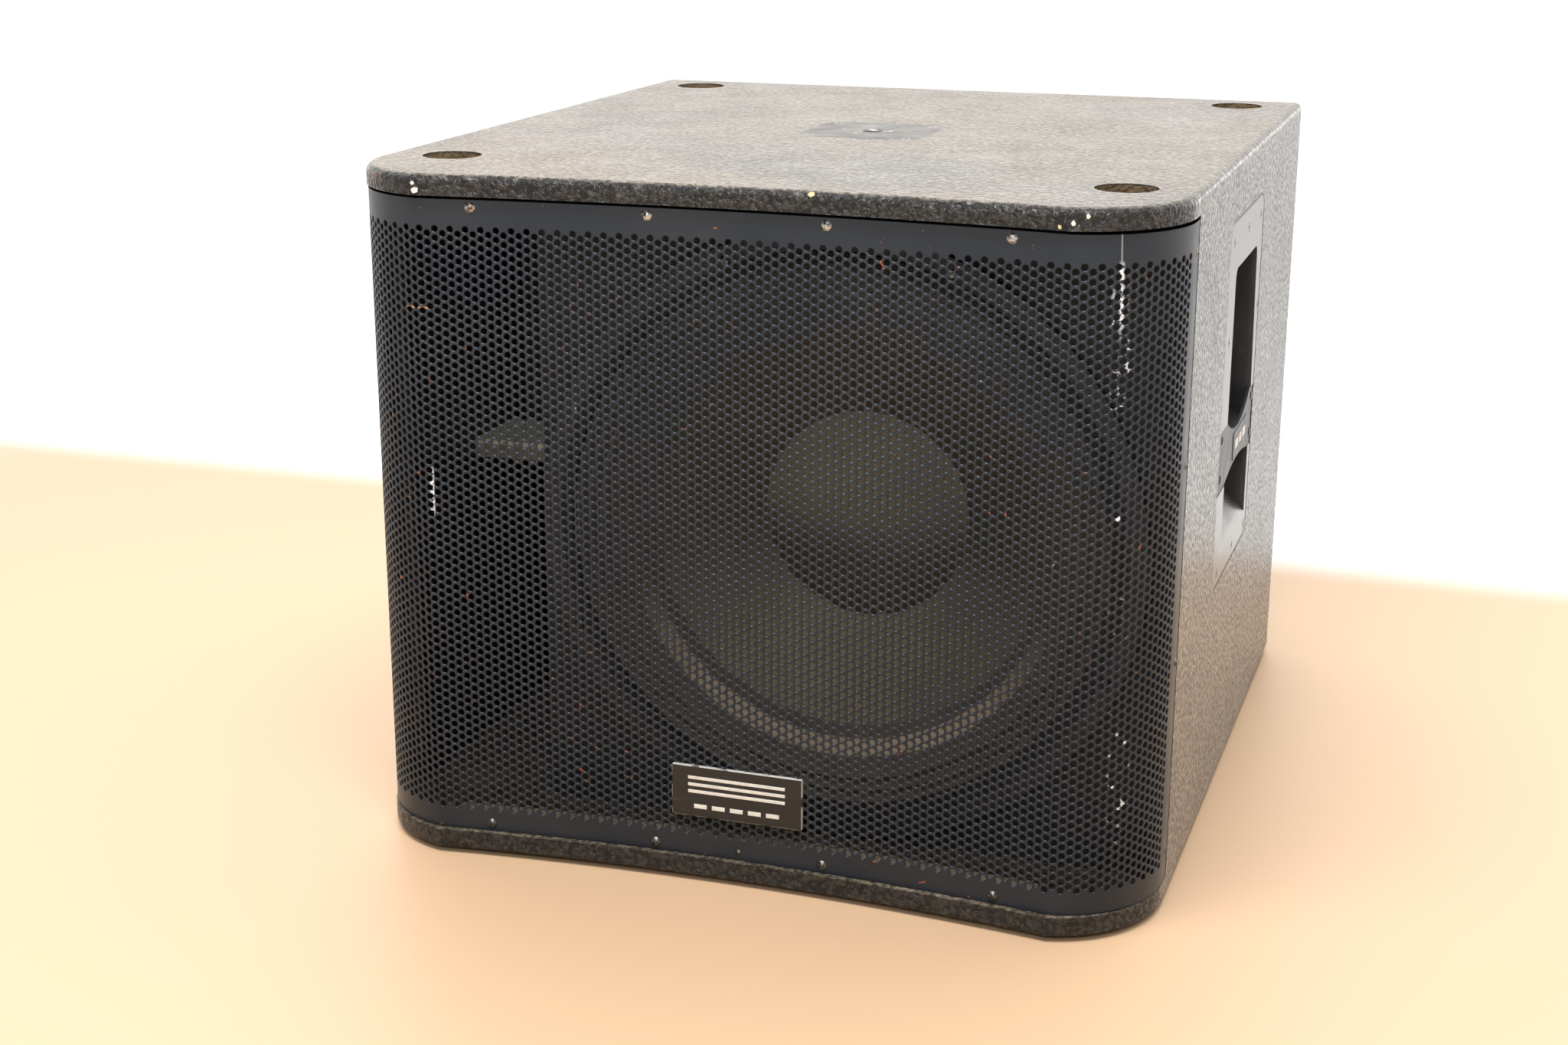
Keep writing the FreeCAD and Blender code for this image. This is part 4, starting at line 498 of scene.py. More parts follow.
def magnet_steel(name):
    """Zinc-plated steel plates with a faint mottle and turning marks."""
    look = Look(name, metallic=1.0)
    look.tint(look.noise(14, 4.0), (0.38, 0.38, 0.37), (0.62, 0.62, 0.60))
    look.matt(look.noise(10, 3.0), 0.2, 0.25)
    look.bump(look.waves(look.polar()[0], 0.8 * MM), 0.03 * MM)
    return look.material


def magnet_ferrite(name):
    """Grey sintered ring, slightly chipped."""
    return clouded(name, (6, 5.0, 0.6), (0.035, 0.035, 0.037), (0.085, 0.083, 0.08),
                   relief=((1.5, 4.0, 0.6), 0.2 * MM), roughness=0.7)


def etched(name, gloss, depth=0.05 * MM):
    """Moulded plastic with a fine etched grain and a cloudy gloss."""
    look = Look(name)
    look.matt(look.noise(9, 4.0), 0.2, gloss)
    look.bump(look.noise(0.6), depth)
    return look


def handled(name, dark, light, *finish):
    """Moulded plastic with slight handling marks."""
    look = etched(name, *finish)
    look.tint(look.ramp(look.noise(14, 5.0, 0.7), 0.5, 0.75), dark, light)
    return look.material


def terminal_plastic(name):
    """Red and black spring posts on a dark block."""
    look = etched(name, 0.35)
    red = look.both(look.ramp(look.x, WOOFER_X, WOOFER_X + 0.5 * MM),
                    look.ramp(look.z, WOOFER_Z + 126 * MM, WOOFER_Z + 126.5 * MM))
    look.tint(red, (0.02, 0.02, 0.02), (0.45, 0.02, 0.015))
    return look.material


def handle_plastic(name):
    """Satin flange with a fine grain and a smoother, glossier cup; dust on what faces up; a painted
    shadow in near black round the flange's outline.
    """
    look = Look(name)
    depth_in = look.op("SUBTRACT", TOP_HIGH.x, look.op("ABSOLUTE", look.x))
    cup = look.ramp(depth_in, 2.0 * MM, 6.0 * MM)
    dust = look.both(look.upward(0.2, 0.9), look.ramp(look.noise(20, 4.0), 0.3, 0.7), 0.5)
    scuffs = look.both(look.ramp(look.noise(5, 5.0, 0.7, (1.0, 1.0, 0.3)), 0.58, 0.68), 0.4)
    black = look.mix(look.noise(16, 4.0), (0.030, 0.030, 0.032), (0.056, 0.056, 0.058))
    black = look.mix(scuffs, black, (0.12, 0.115, 0.11))
    black = look.mix(dust, black, (0.20, 0.18, 0.15))
    # Painted shadow: a near-black line round the flange's outline, where the gap to the side panel is.
    corner = 12 * MM
    middle = (PAN_LOW + PAN_HIGH) / 2
    half = (PAN_HIGH - PAN_LOW) / 2
    past = []
    for value, centre, reach in ((look.y, middle.y, half.y), (look.z, middle.z, half.z)):
        past.append(look.op("MAXIMUM", look.op("SUBTRACT", look.gap(value, centre), reach - corner), 0.0))
    painted_shadow_gap = look.ramp(look.length(*past), corner - 2.2 * MM, corner - 1.6 * MM)
    look.tint(painted_shadow_gap, black, (0.002, 0.002, 0.002))
    flange = look.both(look.op("SUBTRACT", 1.0, cup), look.op("SUBTRACT", 1.0, painted_shadow_gap))
    look.set("Coat Weight", look.both(flange, 0.6))
    look.set("Coat Roughness", 0.2)
    look.matt(cup, -0.14, look.scaled(dust, 0.4, 0.38))
    look.bump(look.noise(0.7, 2.0), 0.07 * MM, 0.8)
    return look.material


def bridge_plastic(name):
    return handled(name, (0.020, 0.020, 0.022), (0.055, 0.054, 0.052), 0.30)


def pole_plate_paint(name):
    """Black painted plate, rubbed to metal round the hole where poles have been screwed in."""
    look = Look(name)
    reach = look.length(look.x, look.op("SUBTRACT", look.y, POLE_Y))
    thread = look.fall(reach, 10.2 * MM, 10.6 * MM)
    rubbed = look.both(look.fall(reach, 12 * MM, 34 * MM),
                       look.ramp(look.noise(6, 5.0, 0.7), 0.52, 0.66), 0.8)
    dust = look.both(look.ramp(look.noise(16, 4.0), 0.35, 0.7), 0.35)
    black = look.mix(dust, (0.018, 0.018, 0.019), (0.16, 0.145, 0.12))
    bright = look.either(thread, rubbed)
    look.set("Specular IOR Level", 0.12)
    look.tint(bright, black, (0.45, 0.44, 0.42))
    look.set("Metallic", look.both(bright, 0.9))
    look.matt(look.noise(10, 4.0), 0.25, 0.26)
    look.bump(look.both(look.waves(look.z, 2.5 * MM), thread), 0.7 * MM)
    look.bump(look.noise(1.2, 3.0), 0.08 * MM)
    return look.material


def amp_plate_paint(name):
    """Fine-textured black powder coat with faint finger marks."""
    return clouded(name, (30, 5.0, 0.6), (0.016, 0.016, 0.018), (0.034, 0.034, 0.036),
                   ((25, 4.0), (0.2, 0.38)), ((0.8, 3.0, 0.6), 0.12 * MM))


def heat_sink_metal(name):
    """Black anodised extrusion with fine draw lines and rubbed fin tips."""
    look = Look(name, metallic=0.7)
    lines = look.noise(0.7, 2.0, 0.5, (1.0, 1.0, 0.02))
    tips = look.both(look.ramp(look.y, AMP_HIGH.y + 24.2 * MM, AMP_HIGH.y + 24.9 * MM),
                     look.ramp(look.noise(7, 4.0), 0.45, 0.6), 0.7)
    look.tint(tips, (0.030, 0.030, 0.033), (0.42, 0.42, 0.43))
    look.matt(lines, 0.2, 0.32)
    look.bump(lines, 0.06 * MM)
    return look.material


def circuit_board_laminate(name):
    """Green solder mask over copper tracks, with tinned pads."""
    look = Look(name, roughness=0.3)
    tracks = look.ramp(look.cells(7), 0.40, 0.44)
    pads = look.fall(look.cells(5), 0.10, 0.12)
    mask = look.mix(tracks, (0.010, 0.10, 0.035), (0.025, 0.19, 0.07))
    look.tint(pads, mask, (0.62, 0.60, 0.55))
    look.set("Metallic", pads)
    look.bump(tracks, 0.08 * MM)
    return look.material


def board_metal(name):
    """Plated pillars with a turned finish."""
    look = Look(name, metallic=1.0)
    look.tint(look.noise(4, 3.0), (0.50, 0.49, 0.46), (0.72, 0.71, 0.68))
    look.matt(look.noise(3), 0.2, 0.2)
    look.bump(look.waves(look.y, 0.6 * MM), 0.03 * MM)
    return look.material


def component_case(name):
    """Blue-black sleeves, and a ring winding in yellow tape at the lower left."""
    look = Look(name)
    winding = look.both(look.fall(look.x, -16 * MM, -14 * MM),
                        look.fall(look.z, 312 * MM, 314 * MM))
    sleeve = look.mix(look.noise(9, 3.0), (0.015, 0.018, 0.030), (0.04, 0.045, 0.07))
    tape = look.mix(look.noise(2, 2.0, 0.5, (1.0, 0.2, 1.0)), (0.42, 0.30, 0.05), (0.62, 0.46, 0.12))
    look.tint(winding, sleeve, tape)
    look.matt(look.noise(5), 0.2, 0.3)
    look.bump(look.noise(1.0), 0.08 * MM)
    return look.material


def fan_plastic(name):
    return handled(name, (0.014, 0.014, 0.015), (0.035, 0.034, 0.033), 0.38)


def control_plastic(name):
    """Soft black plastic; the pointer groove in the knob's face is painted white."""
    look = etched(name, 0.45)
    knob_z = (KNOB_LOW.z + KNOB_HIGH.z) / 2
    pointer = look.both(look.band(look.x, 0.0, 0.62 * MM, 0.06 * MM),
                        look.ramp(look.z, knob_z + 2.9 * MM, knob_z + 3.1 * MM),
                        look.ramp(look.y, KNOB_HIGH.y - 0.95 * MM, KNOB_HIGH.y - 0.85 * MM))
    black = look.mix(look.noise(8, 4.0), (0.015, 0.015, 0.016), (0.034, 0.034, 0.034))
    look.tint(pointer, black, (0.82, 0.81, 0.78))
    return look.material


def connector_shell(name):
    return handled(name, (0.018, 0.018, 0.019), (0.050, 0.050, 0.052), 0.36)


def rocker_plastic(name):
    return handled(name, (0.010, 0.010, 0.011), (0.028, 0.028, 0.028), 0.14, 0.02 * MM)


def lamp_lens(name):
    """Clear tinted domes in a row: two greens, then a red one and a blue one."""
    look = Look(name, roughness=0.12)
    tint = (0.02, 0.30, 0.05)
    for start, colour in ((64, (0.05, 0.42, 0.06)), (80, (0.55, 0.04, 0.02)), (96, (0.03, 0.10, 0.55))):
        tint = look.mix(look.ramp(look.x, (start - 0.1) * MM, (start + 0.1) * MM), tint, colour)
    look.tint(look.noise(1), tint, (0.3, 0.3, 0.3))
    look.set("Coat Weight", 0.6)
    return look.material


def cable_sleeve(name):
    """Black sleeve over a pair of leads."""
    return clouded(name, (12, 3.0), (0.012, 0.012, 0.012), (0.036, 0.035, 0.034),
                   ((6,), (0.2, 0.4)), ((0.8,), 0.1 * MM))


def caster_zinc(name):
    """Bright zinc plate with a soft bloom and dirt in patches."""
    look = Look(name, metallic=1.0)
    dirt = look.ramp(look.noise(14, 5.0, 0.7), 0.5, 0.72)
    look.tint(dirt, (0.66, 0.66, 0.65), (0.30, 0.28, 0.24))
    look.matt(look.noise(8, 4.0, 0.6), 0.35, 0.2)
    look.bump(look.noise(1.4, 3.0), 0.05 * MM)
    return look.material


def caster_tread(name):
    """Grey-black rubber, scuffed and dusty."""
    look = Look(name, roughness=0.75)
    scuffs = look.ramp(look.noise(4, 5.0, 0.7, (0.3, 1.0, 1.0)), 0.45, 0.7)
    look.tint(look.both(scuffs, 0.7), (0.030, 0.030, 0.031), (0.17, 0.16, 0.145))
    look.bump(look.noise(1.2, 4.0, 0.6), 0.2 * MM)
    return look.material


def foot_rubber(name):
    """Matt rubber with dust in its pores."""
    return clouded(name, (5, 4.0), (0.012, 0.012, 0.012), (0.07, 0.065, 0.055),
                   relief=((0.8, 3.0), 0.12 * MM), roughness=0.85)


def contact_metal(name):
    """Bright plated contacts, slightly tarnished."""
    return clouded(name, (2, 3.0), (0.62, 0.58, 0.50), (0.80, 0.78, 0.74),
                   ((1.5,), (0.2, 0.2)), metallic=1.0)


SLOT_LOOKS = (
    textured_paint, flat_black_paint, grille_steel, badge_plastic, worn_screws, cast_frame, gasket_foam,
    surround_cloth, cone_paper, spider_cloth, coil_metal, magnet_steel, magnet_ferrite, terminal_plastic,
    handle_plastic, bridge_plastic, pole_plate_paint, amp_plate_paint, heat_sink_metal,
    circuit_board_laminate, board_metal, component_case, fan_plastic, control_plastic, connector_shell,
    rocker_plastic, lamp_lens, cable_sleeve, caster_zinc, caster_tread, foot_rubber)
LOOKS = {maker.__name__: maker(maker.__name__) for maker in SLOT_LOOKS}
MARKS = mark_paint("mark_paint")
CONTACTS = contact_metal("contact_metal")


# ---- building meshes ----
class Shape:
    """The vertices and faces of one piece, gathered from simple parts."""

    def __init__(self):
        self.verts = []
        self.faces = []

    def add(self, verts, faces):
        first = len(self.verts)
        self.verts += [tuple(vert) for vert in verts]
        self.faces += [tuple(first + index for index in face) for face in faces]

    def turned(self, foot, along, profile, steps=32):
        """A solid of revolution; profile gives (radius, distance along), from axis to axis."""
        along = Vector(along).normalized()
        across = along.orthogonal().normalized()
        other = along.cross(across)
        verts = []
        rings = []
        for radius, distance in profile:
            middle = Vector(foot) + along * distance
            turns = [2 * math.pi * step / steps for step in range(steps if radius > 0 else 1)]
            rings.append([len(verts) + step for step in range(len(turns))])
            verts += [middle + (across * math.cos(turn) + other * math.sin(turn)) * radius
                      for turn in turns]
        faces = []
        for ring, following in zip(rings, rings[1:]):
            for step in range(steps):
                corners = [ring[step % len(ring)], ring[(step + 1) % len(ring)],
                           following[(step + 1) % len(following)], following[step % len(following)]]
                faces.append(tuple(dict.fromkeys(corners)))
        self.add(verts, faces)

    def bar(self, centre, size, edge):
        """A box with rounded edges."""
        mesh = bmesh.new()
        bmesh.ops.create_cube(mesh, size=1.0, matrix=Matrix.Diagonal((*size, 1.0)))
        bmesh.ops.bevel(mesh, geom=mesh.edges[:], offset=edge, segments=2, profile=0.7, affect="EDGES")
        mesh.verts.index_update()
        verts = [vert.co + Vector(centre) for vert in mesh.verts]
        self.add(verts, [[vert.index for vert in face.verts] for face in mesh.faces])
        mesh.free()

    def piece(self, name, material, body=None, sharp_over=40.0):
        """The finished object, riding on a body if one is named."""
        mesh = bpy.data.meshes.new(name)
        mesh.from_pydata(self.verts, [], self.faces)
        mesh.update()
        mesh.shade_smooth()
        mesh.set_sharp_from_angle(angle=math.radians(sharp_over))
        mesh.materials.append(material)
        made = bpy.data.objects.new(name, mesh)
        bpy.context.scene.collection.objects.link(made)
        if body:
            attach(made, body)
        return made


# ---- the perforated grille ----
CORNER_END_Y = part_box("right_panel")[0].y
HALF_WIDTH = GRILLE_HIGH.x
CREASE_Y = GRILLE_LOW.y
BOW_R = (CREASE_X ** 2 + FRONT_BOW ** 2) / (2 * FRONT_BOW)
CORNER_RUN = HALF_WIDTH - CREASE_X
CORNER_RISE = CORNER_END_Y - CREASE_Y
CORNER_R = (CORNER_RUN ** 2 + CORNER_RISE ** 2) / (2 * CORNER_RUN)
CORNER_TURN = math.asin(CORNER_RISE / CORNER_R)
S_CREASE = BOW_R * math.asin(CREASE_X / BOW_R)
S_CORNER = S_CREASE + CORNER_R * CORNER_TURN
S_END = S_CORNER + GRILLE_HIGH.y - CORNER_END_Y

PITCH = 6.57 * MM                    # from one hole to the next in a column
HOLE_R = 2.35 * MM
HOLE_EDGE = 0.45 * MM                # the hole's front edge is broken by this much
EDGE_R = HOLE_R + HOLE_EDGE
HOLE_SIDES = 12
FIELD_Z = 258 * MM                   # middle of the perforated field
TALL_ROWS = 68                       # holes in a tall column; each short one between has one fewer
LAST_COLUMN = 59                     # the outermost column on each side, a tall one
PIECE_ENDS = (12, 36, LAST_COLUMN)   # the last column of the middle piece and of each one beyond it
STEP_S = PITCH / (2 * math.sqrt(3))  # a cell's corners lie on multiples of this along the sheet
STEP_Z = PITCH / 2                   # and of this up it


def bend(s, inset):
    """X and Y of points of the flat sheet, s along it from its middle and inset behind its face."""
    run = np.abs(s)
    turn = np.minimum(run, S_CREASE) / BOW_R
    bow_x = (BOW_R + inset) * np.sin(turn)
    bow_y = CREASE_Y + FRONT_BOW - BOW_R + (BOW_R + inset) * np.cos(turn)
    turn = CORNER_TURN - (np.clip(run, S_CREASE, S_CORNER) - S_CREASE) / CORNER_R
    corner_x = HALF_WIDTH - CORNER_R + (CORNER_R - inset) * np.cos(turn)
    corner_y = CORNER_END_Y - (CORNER_R - inset) * np.sin(turn) + np.maximum(run - S_CORNER, 0)
    bowed = run < S_CREASE
    return np.sign(s) * np.where(bowed, bow_x, corner_x), np.where(bowed, bow_y, corner_y)


class FlatSheet:
    """A flat pattern of faces that share their corners."""

    def __init__(self):
        self.points = []
        self.known = {}
        self.faces = []
        self.shrink = {}

    def point(self, s, z):
        if (s, z) not in self.known:
            self.known[s, z] = len(self.points)
            self.points.append((s, z))
        return self.known[s, z]

    def corner(self, along, up):
        """A corner of the honeycomb, by its steps along the sheet and up it."""
        return self.point(along * STEP_S, FIELD_Z + up * STEP_Z)

    def cell(self, column, up):
        """One six-sided cell with its round hole."""
        rim = [self.corner(3 * column + along, up + rise)
               for along, rise in ((2, 0), (1, 1), (-1, 1), (-2, 0), (-1, -1), (1, -1))]
        middle_s = 3 * column * STEP_S
        middle_z = FIELD_Z + up * STEP_Z
        hole = []
        for side in range(HOLE_SIDES):
            turn = 2 * math.pi * side / HOLE_SIDES
            across, rise = math.cos(turn), math.sin(turn)
            hole.append(self.point(middle_s + EDGE_R * across, middle_z + EDGE_R * rise))
            self.shrink[hole[-1]] = (-HOLE_EDGE * across, -HOLE_EDGE * rise)
        for side in range(6):
            here, there = rim[side], rim[(side + 1) % 6]
            first, second, third = (hole[(2 * side + step) % HOLE_SIDES] for step in range(3))
            self.faces += [(first, here, second), (second, here, there), (second, there, third)]

    def columns(self, first, last):
        """Holes of a run of columns, with the plain bands above and below them."""
        top_chain = []
        for column in range(first, last + 1):
            tall = (column - LAST_COLUMN) % 2 == 0
            reach = TALL_ROWS - 1 if tall else TALL_ROWS - 2
            for up in range(-reach, reach + 1, 2):
                self.cell(column, up)
            if tall and column == first:
                top_chain.append((3 * column - 2, reach))
            top_chain += [(3 * column - 1, reach + 1), (3 * column + 1, reach + 1)]
        for (here, rise), (there, next_rise) in zip(top_chain, top_chain[1:]):
            for sign, edge_z in ((1, GRILLE_HIGH.z), (-1, GRILLE_LOW.z)):
                quad = [self.corner(here, sign * rise), self.corner(there, sign * next_rise),
                        self.point(there * STEP_S, edge_z), self.point(here * STEP_S, edge_z)]
                self.faces.append(tuple(quad[::sign]))

    def side_band(self):
        """The plain flange beyond the last column."""
        levels = range(-TALL_ROWS, TALL_ROWS + 1)
        near = 3 * LAST_COLUMN
        inner = [near + 1] + [near + 1 + (TALL_ROWS + level) % 2 for level in levels] + [near + 1]
        heights = [GRILLE_LOW.z] + [FIELD_Z + level * STEP_Z for level in levels] + [GRILLE_HIGH.z]
        lines = [[self.point(along * STEP_S, z) for along, z in zip(inner, heights)]]
        first = (near + 3) * STEP_S
        for s in (first, (2 * first + S_CORNER) / 3, (first + 2 * S_CORNER) / 3, S_CORNER, S_END):
            lines.append([self.point(s, z) for z in heights])
        for line, following in zip(lines, lines[1:]):
            for row in range(len(heights) - 1):
                self.faces.append((line[row], following[row], following[row + 1], line[row + 1]))

    def mirrored(self):
        twin = FlatSheet()
        twin.points = [(-s, z) for s, z in self.points]
        twin.faces = [face[::-1] for face in self.faces]
        twin.shrink = {index: (-across, rise) for index, (across, rise) in self.shrink.items()}
        return twin

    def bent(self, name):
        """The sheet bent to the grille's outline, with a wall at every free edge."""
        front = np.array(self.points)
        count = len(front)
        inner = front.copy()
        for index, step in self.shrink.items():
            inner[index] += step
        layers = ((front, 0.0), (inner, HOLE_EDGE), (inner, SHEET))
        skins = [np.column_stack((*bend(flat[:, 0], inset), flat[:, 1])) for flat, inset in layers]
        edges = {(face[i - 1], face[i]) for face in self.faces for i in range(len(face))}
        walls = []
        for here, there in sorted(edges):
            if (there, here) not in edges:
                for step in (0, count):
                    walls.append((there + step, here + step, here + step + count, there + step + count))
        backs = [tuple(index + 2 * count for index in face[::-1]) for face in self.faces]
        shape = Shape()
        shape.verts = np.vstack(skins).tolist()
        shape.faces = self.faces + backs + walls
        return shape.piece(name, LOOKS["grille_steel"], "cabinet")


def grille():
    """Five pieces side by side, one sheet to the eye."""
    middle = FlatSheet()
    middle.columns(-PIECE_ENDS[0], PIECE_ENDS[0])
    centre = middle.bent("grille_middle")
    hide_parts("front_grille")
    for before, last in zip(PIECE_ENDS, PIECE_ENDS[1:]):
        right = FlatSheet()
        right.columns(before + 1, last)
        if last == LAST_COLUMN:
            right.side_band()
        right.bent("grille_right_to_%d" % last)
        right.mirrored().bent("grille_left_to_%d" % last)


# ---- the cone's two flexible rings ----
LIP_R = 205.2 * MM                   # where the surround comes out from under its gasket
SURROUND_R = (211 * MM, 178 * MM)
LIP_END_R = 150 * MM
PLEATS = 3
PLEAT_HEIGHT = 5.4 * MM
CONE_RIM_R = 181 * MM
CONE_NECK_R = 50 * MM
CONE_RIM_Y = -2.8 * MM               # behind the baffle's face; so are the next three
CONE_NECK_Y = 100 * MM
SPIDER_Y = 111 * MM
LEDGE_Y = 106.8 * MM
LEDGE_R = 111.5 * MM                 # the basket's ledge, which the spider is glued to
SPIDER_R = (104 * MM, 52 * MM)


def cone_face(radius):
    """How far behind the baffle's face the cone's front is at a radius."""
    part = (CONE_RIM_R - radius) / (CONE_RIM_R - CONE_NECK_R)
    return CONE_RIM_Y + (CONE_NECK_Y - CONE_RIM_Y) * (0.86 * part + 0.14 * part ** 2)


def surround_face(radius):
    """The surround's front: a flat lip, three pleats and a glued lip that lies on the cone."""
    start, end = LIP_R, SURROUND_R[1]
    lip = -4.5 * MM
    if radius >= start:
        return lip
    if radius <= end:
        return cone_face(radius) - 1.0 * MM
    part = (start - radius) / (start - end)
    base = lip + part * (cone_face(end) - 1.0 * MM - lip)
    return base - PLEAT_HEIGHT * math.sin(math.pi * PLEATS * part) ** 2


def spider_face(radius):
    """The spider's front: five ripples between its glued edges."""
    outer, inner = SPIDER_R
    if radius >= outer:
        return SPIDER_Y + (LEDGE_Y - SPIDER_Y) * (radius - outer) / (LEDGE_R - outer)
    part = (radius - inner) / (outer - inner)
    return SPIDER_Y + 2.2 * MM * math.sin(2 * math.pi * 5 * part)


def flexible_ring(name, node, radii, face, thick, sectors):
    """A ring about the woofer's axis, built in sectors that each follow the ring's profile along its
    radius.
    """
    steps = 4
    rows = [(radius, face(radius)) for radius in radii]
    outline = rows + [(radius, depth + thick) for radius, depth in reversed(rows)]
    count = len(outline)
    for sector in range(sectors):
        start = 2 * math.pi * sector / sectors
        turns = [start + 2 * math.pi * step / (steps * sectors) for step in range(steps + 1)]
        shape = Shape()
        shape.verts = [(WOOFER_X + radius * math.cos(turn), BAFFLE_FACE + depth,
                        WOOFER_Z + radius * math.sin(turn))
                       for turn in turns for radius, depth in outline]
        for step in range(steps):
            for row in range(count):
                following = (row + 1) % count
                shape.faces.append((step * count + row, (step + 1) * count + row,
                                    (step + 1) * count + following, step * count + following))
        for row in range(len(rows) - 1):
            end = [row, row + 1, count - 2 - row, count - 1 - row]
            shape.faces.append(tuple(end))
            shape.faces.append(tuple(index + steps * count for index in reversed(end)))
        slot = "%s_cloth" % name
        made = shape.piece("woofer_%s_%02d" % (name, sector), LOOKS[slot])
        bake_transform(made)
        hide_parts(node)


def evenly(start, end, count):
    return [start + (end - start) * index / (count - 1) for index in range(count)]


def flexible_rings():
    radii = [SURROUND_R[0]] + evenly(LIP_R, SURROUND_R[1], 37) + evenly(177 * MM, LIP_END_R, 6)
    flexible_ring("surround", "woofer_surround", radii, surround_face, 0.9 * MM, 24)
    radii = evenly(LEDGE_R, 104.5 * MM, 3) + evenly(*SPIDER_R, 61) + [51.4 * MM]
    flexible_ring("spider", "woofer_spider", radii, spider_face, 0.8 * MM, 12)


# ---- small pieces that the CAD model leaves plain ----
def badge_marks():
    """Plain light bars on the badge in place of lettering."""
    shape = Shape()
    y = BADGE_LOW.y - 0.1 * MM
    middle_z = (BADGE_LOW.z + BADGE_HIGH.z) / 2
    stripes = [(0, 5.5 + 5.4 * row, 75, 2.4) for row in (-1, 0, 1)]
    dashes = [(-28 + 14 * index, -11.5, 10, 3.2) for index in range(5)]
    for x, z, width, height in stripes + dashes:
        shape.bar((x * MM, y, middle_z + z * MM), (width * MM, 0.6 * MM, height * MM), 0.2 * MM)
    shape.piece("badge_marks", MARKS, "cabinet")


def handle_marks():
    """Three plain raised bars on the pad of each handle's bridge."""
    for side, name in ((-1, "left"), (1, "right")):
        low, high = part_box(name + "_handle_bridge")
        x = side * max(abs(low.x), abs(high.x))
        shape = Shape()
        for y, length in ((-36, 16), (-16, 12), (4, 16)):
            shape.bar((x, y * MM, BRIDGE_PAD_Z), (0.5 * MM, length * MM, 7 * MM), 0.15 * MM)
        shape.piece(name + "_handle_marks", MARKS, "cabinet")


def jack_centres(node):
    low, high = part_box(node)
    z = (low.z + high.z) / 2
    return [Vector((x, high.y, z)) for x in (low.x + JACK_HALF_WIDTH, high.x - JACK_HALF_WIDTH)]


def jack_inserts():
    """The insulators inside the round connectors: three contact holes, or three standing pins."""
    out = Vector((0, 1, 0))
    contact_turns = [math.radians(turn) for turn in (90, 210, 330)]
    for node, pins in (("input_jacks", False), ("output_jacks", True)):
        insert = Shape()
        contacts = Shape()
        for centre in jack_centres(node):
            floor = centre - out * JACK_FLOOR
            height = 4 * MM if pins else 13.4 * MM
            insert.turned(floor, out, ((0, 0), (8.6 * MM, 0), (8.6 * MM, height - 0.5 * MM),
                                       (8.1 * MM, height), (0, height)), 48)
            for turn in contact_turns:
                spot = floor + Vector((math.cos(turn), 0, math.sin(turn))) * 4.6 * MM + out * height
                if pins:
                    pin = ((0, 0), (1.2 * MM, 0), (1.2 * MM, 9 * MM), (0.7 * MM, 10 * MM), (0, 10.3 * MM))
                    contacts.turned(spot - out * 1 * MM, out, pin, 20)
                else:
                    insert.turned(spot - out * 0.2 * MM, out,
                                  ((0, 0), (1.9 * MM, 0), (1.9 * MM, 0.6 * MM), (1.6 * MM, 0.8 * MM),
                                   (1.5 * MM, 0.4 * MM), (0, 0.4 * MM)), 20)
                    stud = ((0, 0), (1.1 * MM, 0), (1.1 * MM, 0.3 * MM), (0, 0.35 * MM))
                    contacts.turned(spot + out * 0.1 * MM, out, stud, 16)
        insert.piece(node[:-1] + "_inserts", LOOKS["connector_shell"], "cabinet")
        contacts.piece(node[:-1] + "_contacts", CONTACTS, "cabinet")


def inlet_blades():
    """The three blades of the mains inlet."""
    shape = Shape()
    x = (INLET_LOW.x + INLET_HIGH.x) / 2
    z = (INLET_LOW.z + INLET_HIGH.z) / 2
    y = AMP_LOW.y - 6 * MM
    for dx, dz in ((-7, -2), (7, -2), (0, 2)):
        shape.bar((x + dx * MM, y, z + dz * MM), (2 * MM, 15 * MM, 4 * MM), 0.4 * MM)
    shape.piece("power_inlet_blades", CONTACTS, "cabinet")


def amp_marks():
    """Pairs of printed dots round the gain knob and plain lines that frame the groups of controls."""
    shape = Shape()
    knob_x = (KNOB_LOW.x + KNOB_HIGH.x) / 2
    knob_z = (KNOB_LOW.z + KNOB_HIGH.z) / 2
    face = AMP_HIGH.y
    lift = 0.1 * MM
    for index in range(11):
        turn = math.radians(-150 + 30 * index)
        length = 3.5 * MM if index % 5 == 0 else 2.2 * MM
        dot_r = length * 0.27
        for share in (0.25, 0.75):
            reach = 14 * MM + length * share
            foot = (knob_x + reach * math.sin(turn), face - lift, knob_z + reach * math.cos(turn))
            shape.turned(foot, (0, 1, 0), ((0, 0), (dot_r, 0), (dot_r, 2 * lift), (0, 2 * lift)), 10)
    line = 0.7
    frames = ((83, 325, 82, 46), (-83, 325, 82, 46), (80, 412, 66, 18), (-84, 397, 40, 52))
    for x, z, width, height in frames:
        for dx, dz, w, h in ((0, height / 2, width, line), (0, -height / 2, width, line),
                             (width / 2, 0, line, height), (-width / 2, 0, line, height)):
            shape.bar(((x + dx) * MM, face, (z + dz) * MM), (w * MM, 3 * lift, h * MM), 0.1 * MM)
    shape.piece("amp_panel_marks", MARKS, "cabinet")


# ---- stage, light and camera ----
def floor():
    """Pale warm floor that turns white behind the object and far from it."""
    bpy.ops.mesh.primitive_circle_add(vertices=96, radius=6.0, fill_type="NGON", location=(0, 0, 0))
    made = bpy.context.object
    made.name = "floor"
    look = Look("floor_finish", roughness=0.5)
    far = look.either(look.ramp(look.y, 0.5, 0.62), look.ramp(look.length(look.x, look.y), 1.2, 2.6))
    look.tint(far, (0.63, 0.425, 0.262), (0.90, 0.90, 0.90))
    made.data.materials.append(look.material)


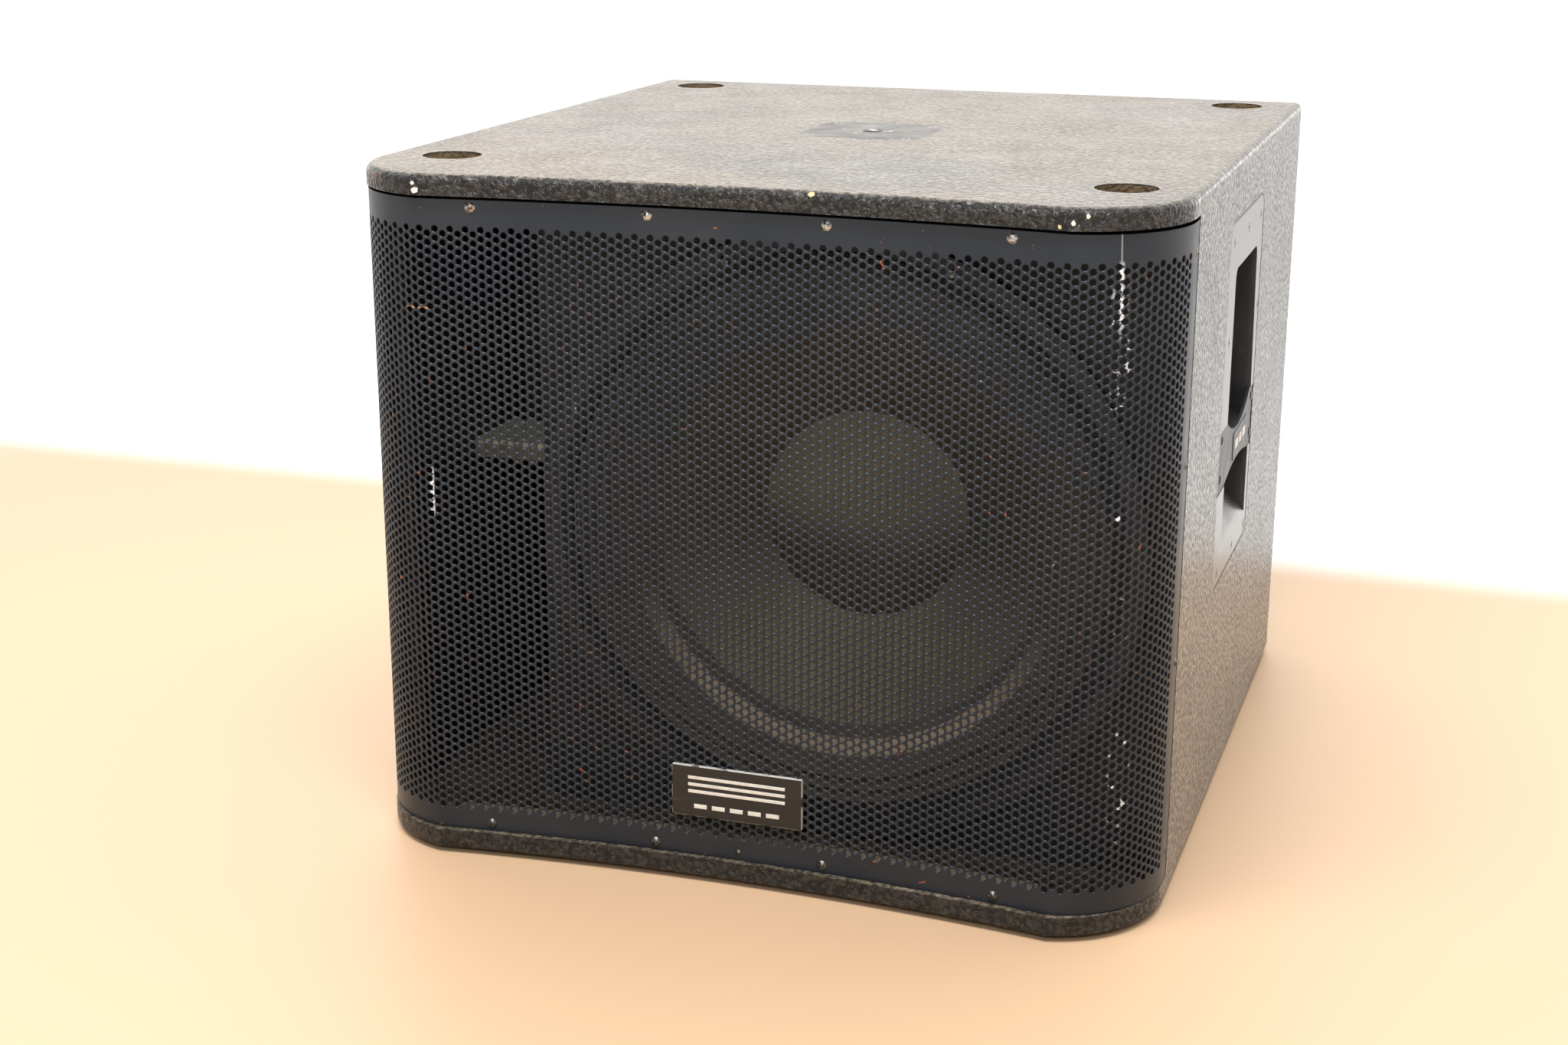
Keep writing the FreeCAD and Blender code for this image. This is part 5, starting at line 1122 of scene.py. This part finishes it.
def backdrop():
    """Room light: bright behind the object and along the horizon, dimmer behind the camera."""
    world = bpy.data.worlds.new("room")
    bpy.context.scene.world = world
    world.use_nodes = True
    nodes = Nodes(world.node_tree)
    direction = nodes.add("ShaderNodeTexCoord").outputs["Generated"]
    axes = nodes.add("ShaderNodeSeparateXYZ", Vector=direction).outputs
    room = nodes.ramp(axes["Y"], -0.2, 0.8, 0.22, 2.6)
    horizon = nodes.ramp(axes["Z"], -0.02, 0.05, 2.6, 0.0)
    background = nodes.tree.nodes["Background"].inputs
    nodes.feed(background["Color"], (1.0, 0.972, 0.935))
    nodes.feed(background["Strength"], nodes.either(room, horizon))


def soft_light(name, place, aim, size, power):
    light = bpy.data.lights.new(name, "AREA")
    light.shape = "RECTANGLE"
    light.size, light.size_y = size
    light.energy = power
    lamp = bpy.data.objects.new(name, light)
    lamp.location = place
    lamp.rotation_euler = (Vector(aim) - Vector(place)).to_track_quat("-Z", "Y").to_euler()
    bpy.context.scene.collection.objects.link(lamp)


CAMERA_PLACE = Vector((0.5310, -1.8483, 0.7456))
CAMERA_YAW = 0.3238                  # turned to the left of +Y, radians
CAMERA_PITCH = 0.2887                # tipped down
CAMERA_ROLL = 0.0024
LENS = 53.21
SENSOR = 36.0


def camera():
    data = bpy.data.cameras.new("camera")
    data.lens = LENS
    data.sensor_width = SENSOR
    made = bpy.data.objects.new("camera", data)
    bpy.context.scene.collection.objects.link(made)
    turn = (Matrix.Rotation(CAMERA_YAW, 4, "Z") @ Matrix.Rotation(math.pi / 2 - CAMERA_PITCH, 4, "X")
            @ Matrix.Rotation(CAMERA_ROLL, 4, "Z"))
    made.matrix_world = Matrix.Translation(CAMERA_PLACE) @ turn
    bpy.context.scene.camera = made


# ---- putting it together ----
def finish_cad_nodes():
    """Each CAD node gets the look of its material slot."""
    for row in frame["record"]["subparts"]:
        mesh = frame["nodes"][row["node"]].data
        mesh.materials.clear()
        mesh.materials.append(LOOKS[row["material_slot"]])


finish_cad_nodes()
grille()
flexible_rings()
badge_marks()
handle_marks()
jack_inserts()
inlet_blades()
amp_marks()
floor()
backdrop()
soft_light("key", (0, -1.15, 2.6), (0, -0.1, 0.3), (1.8, 0.9), 80)
soft_light("fill", (0.4, -2.4, 1.5), (0, -0.3, 0.25), (0.8, 0.8), 22)
camera()
bpy.context.scene.view_settings.view_transform = "Standard"
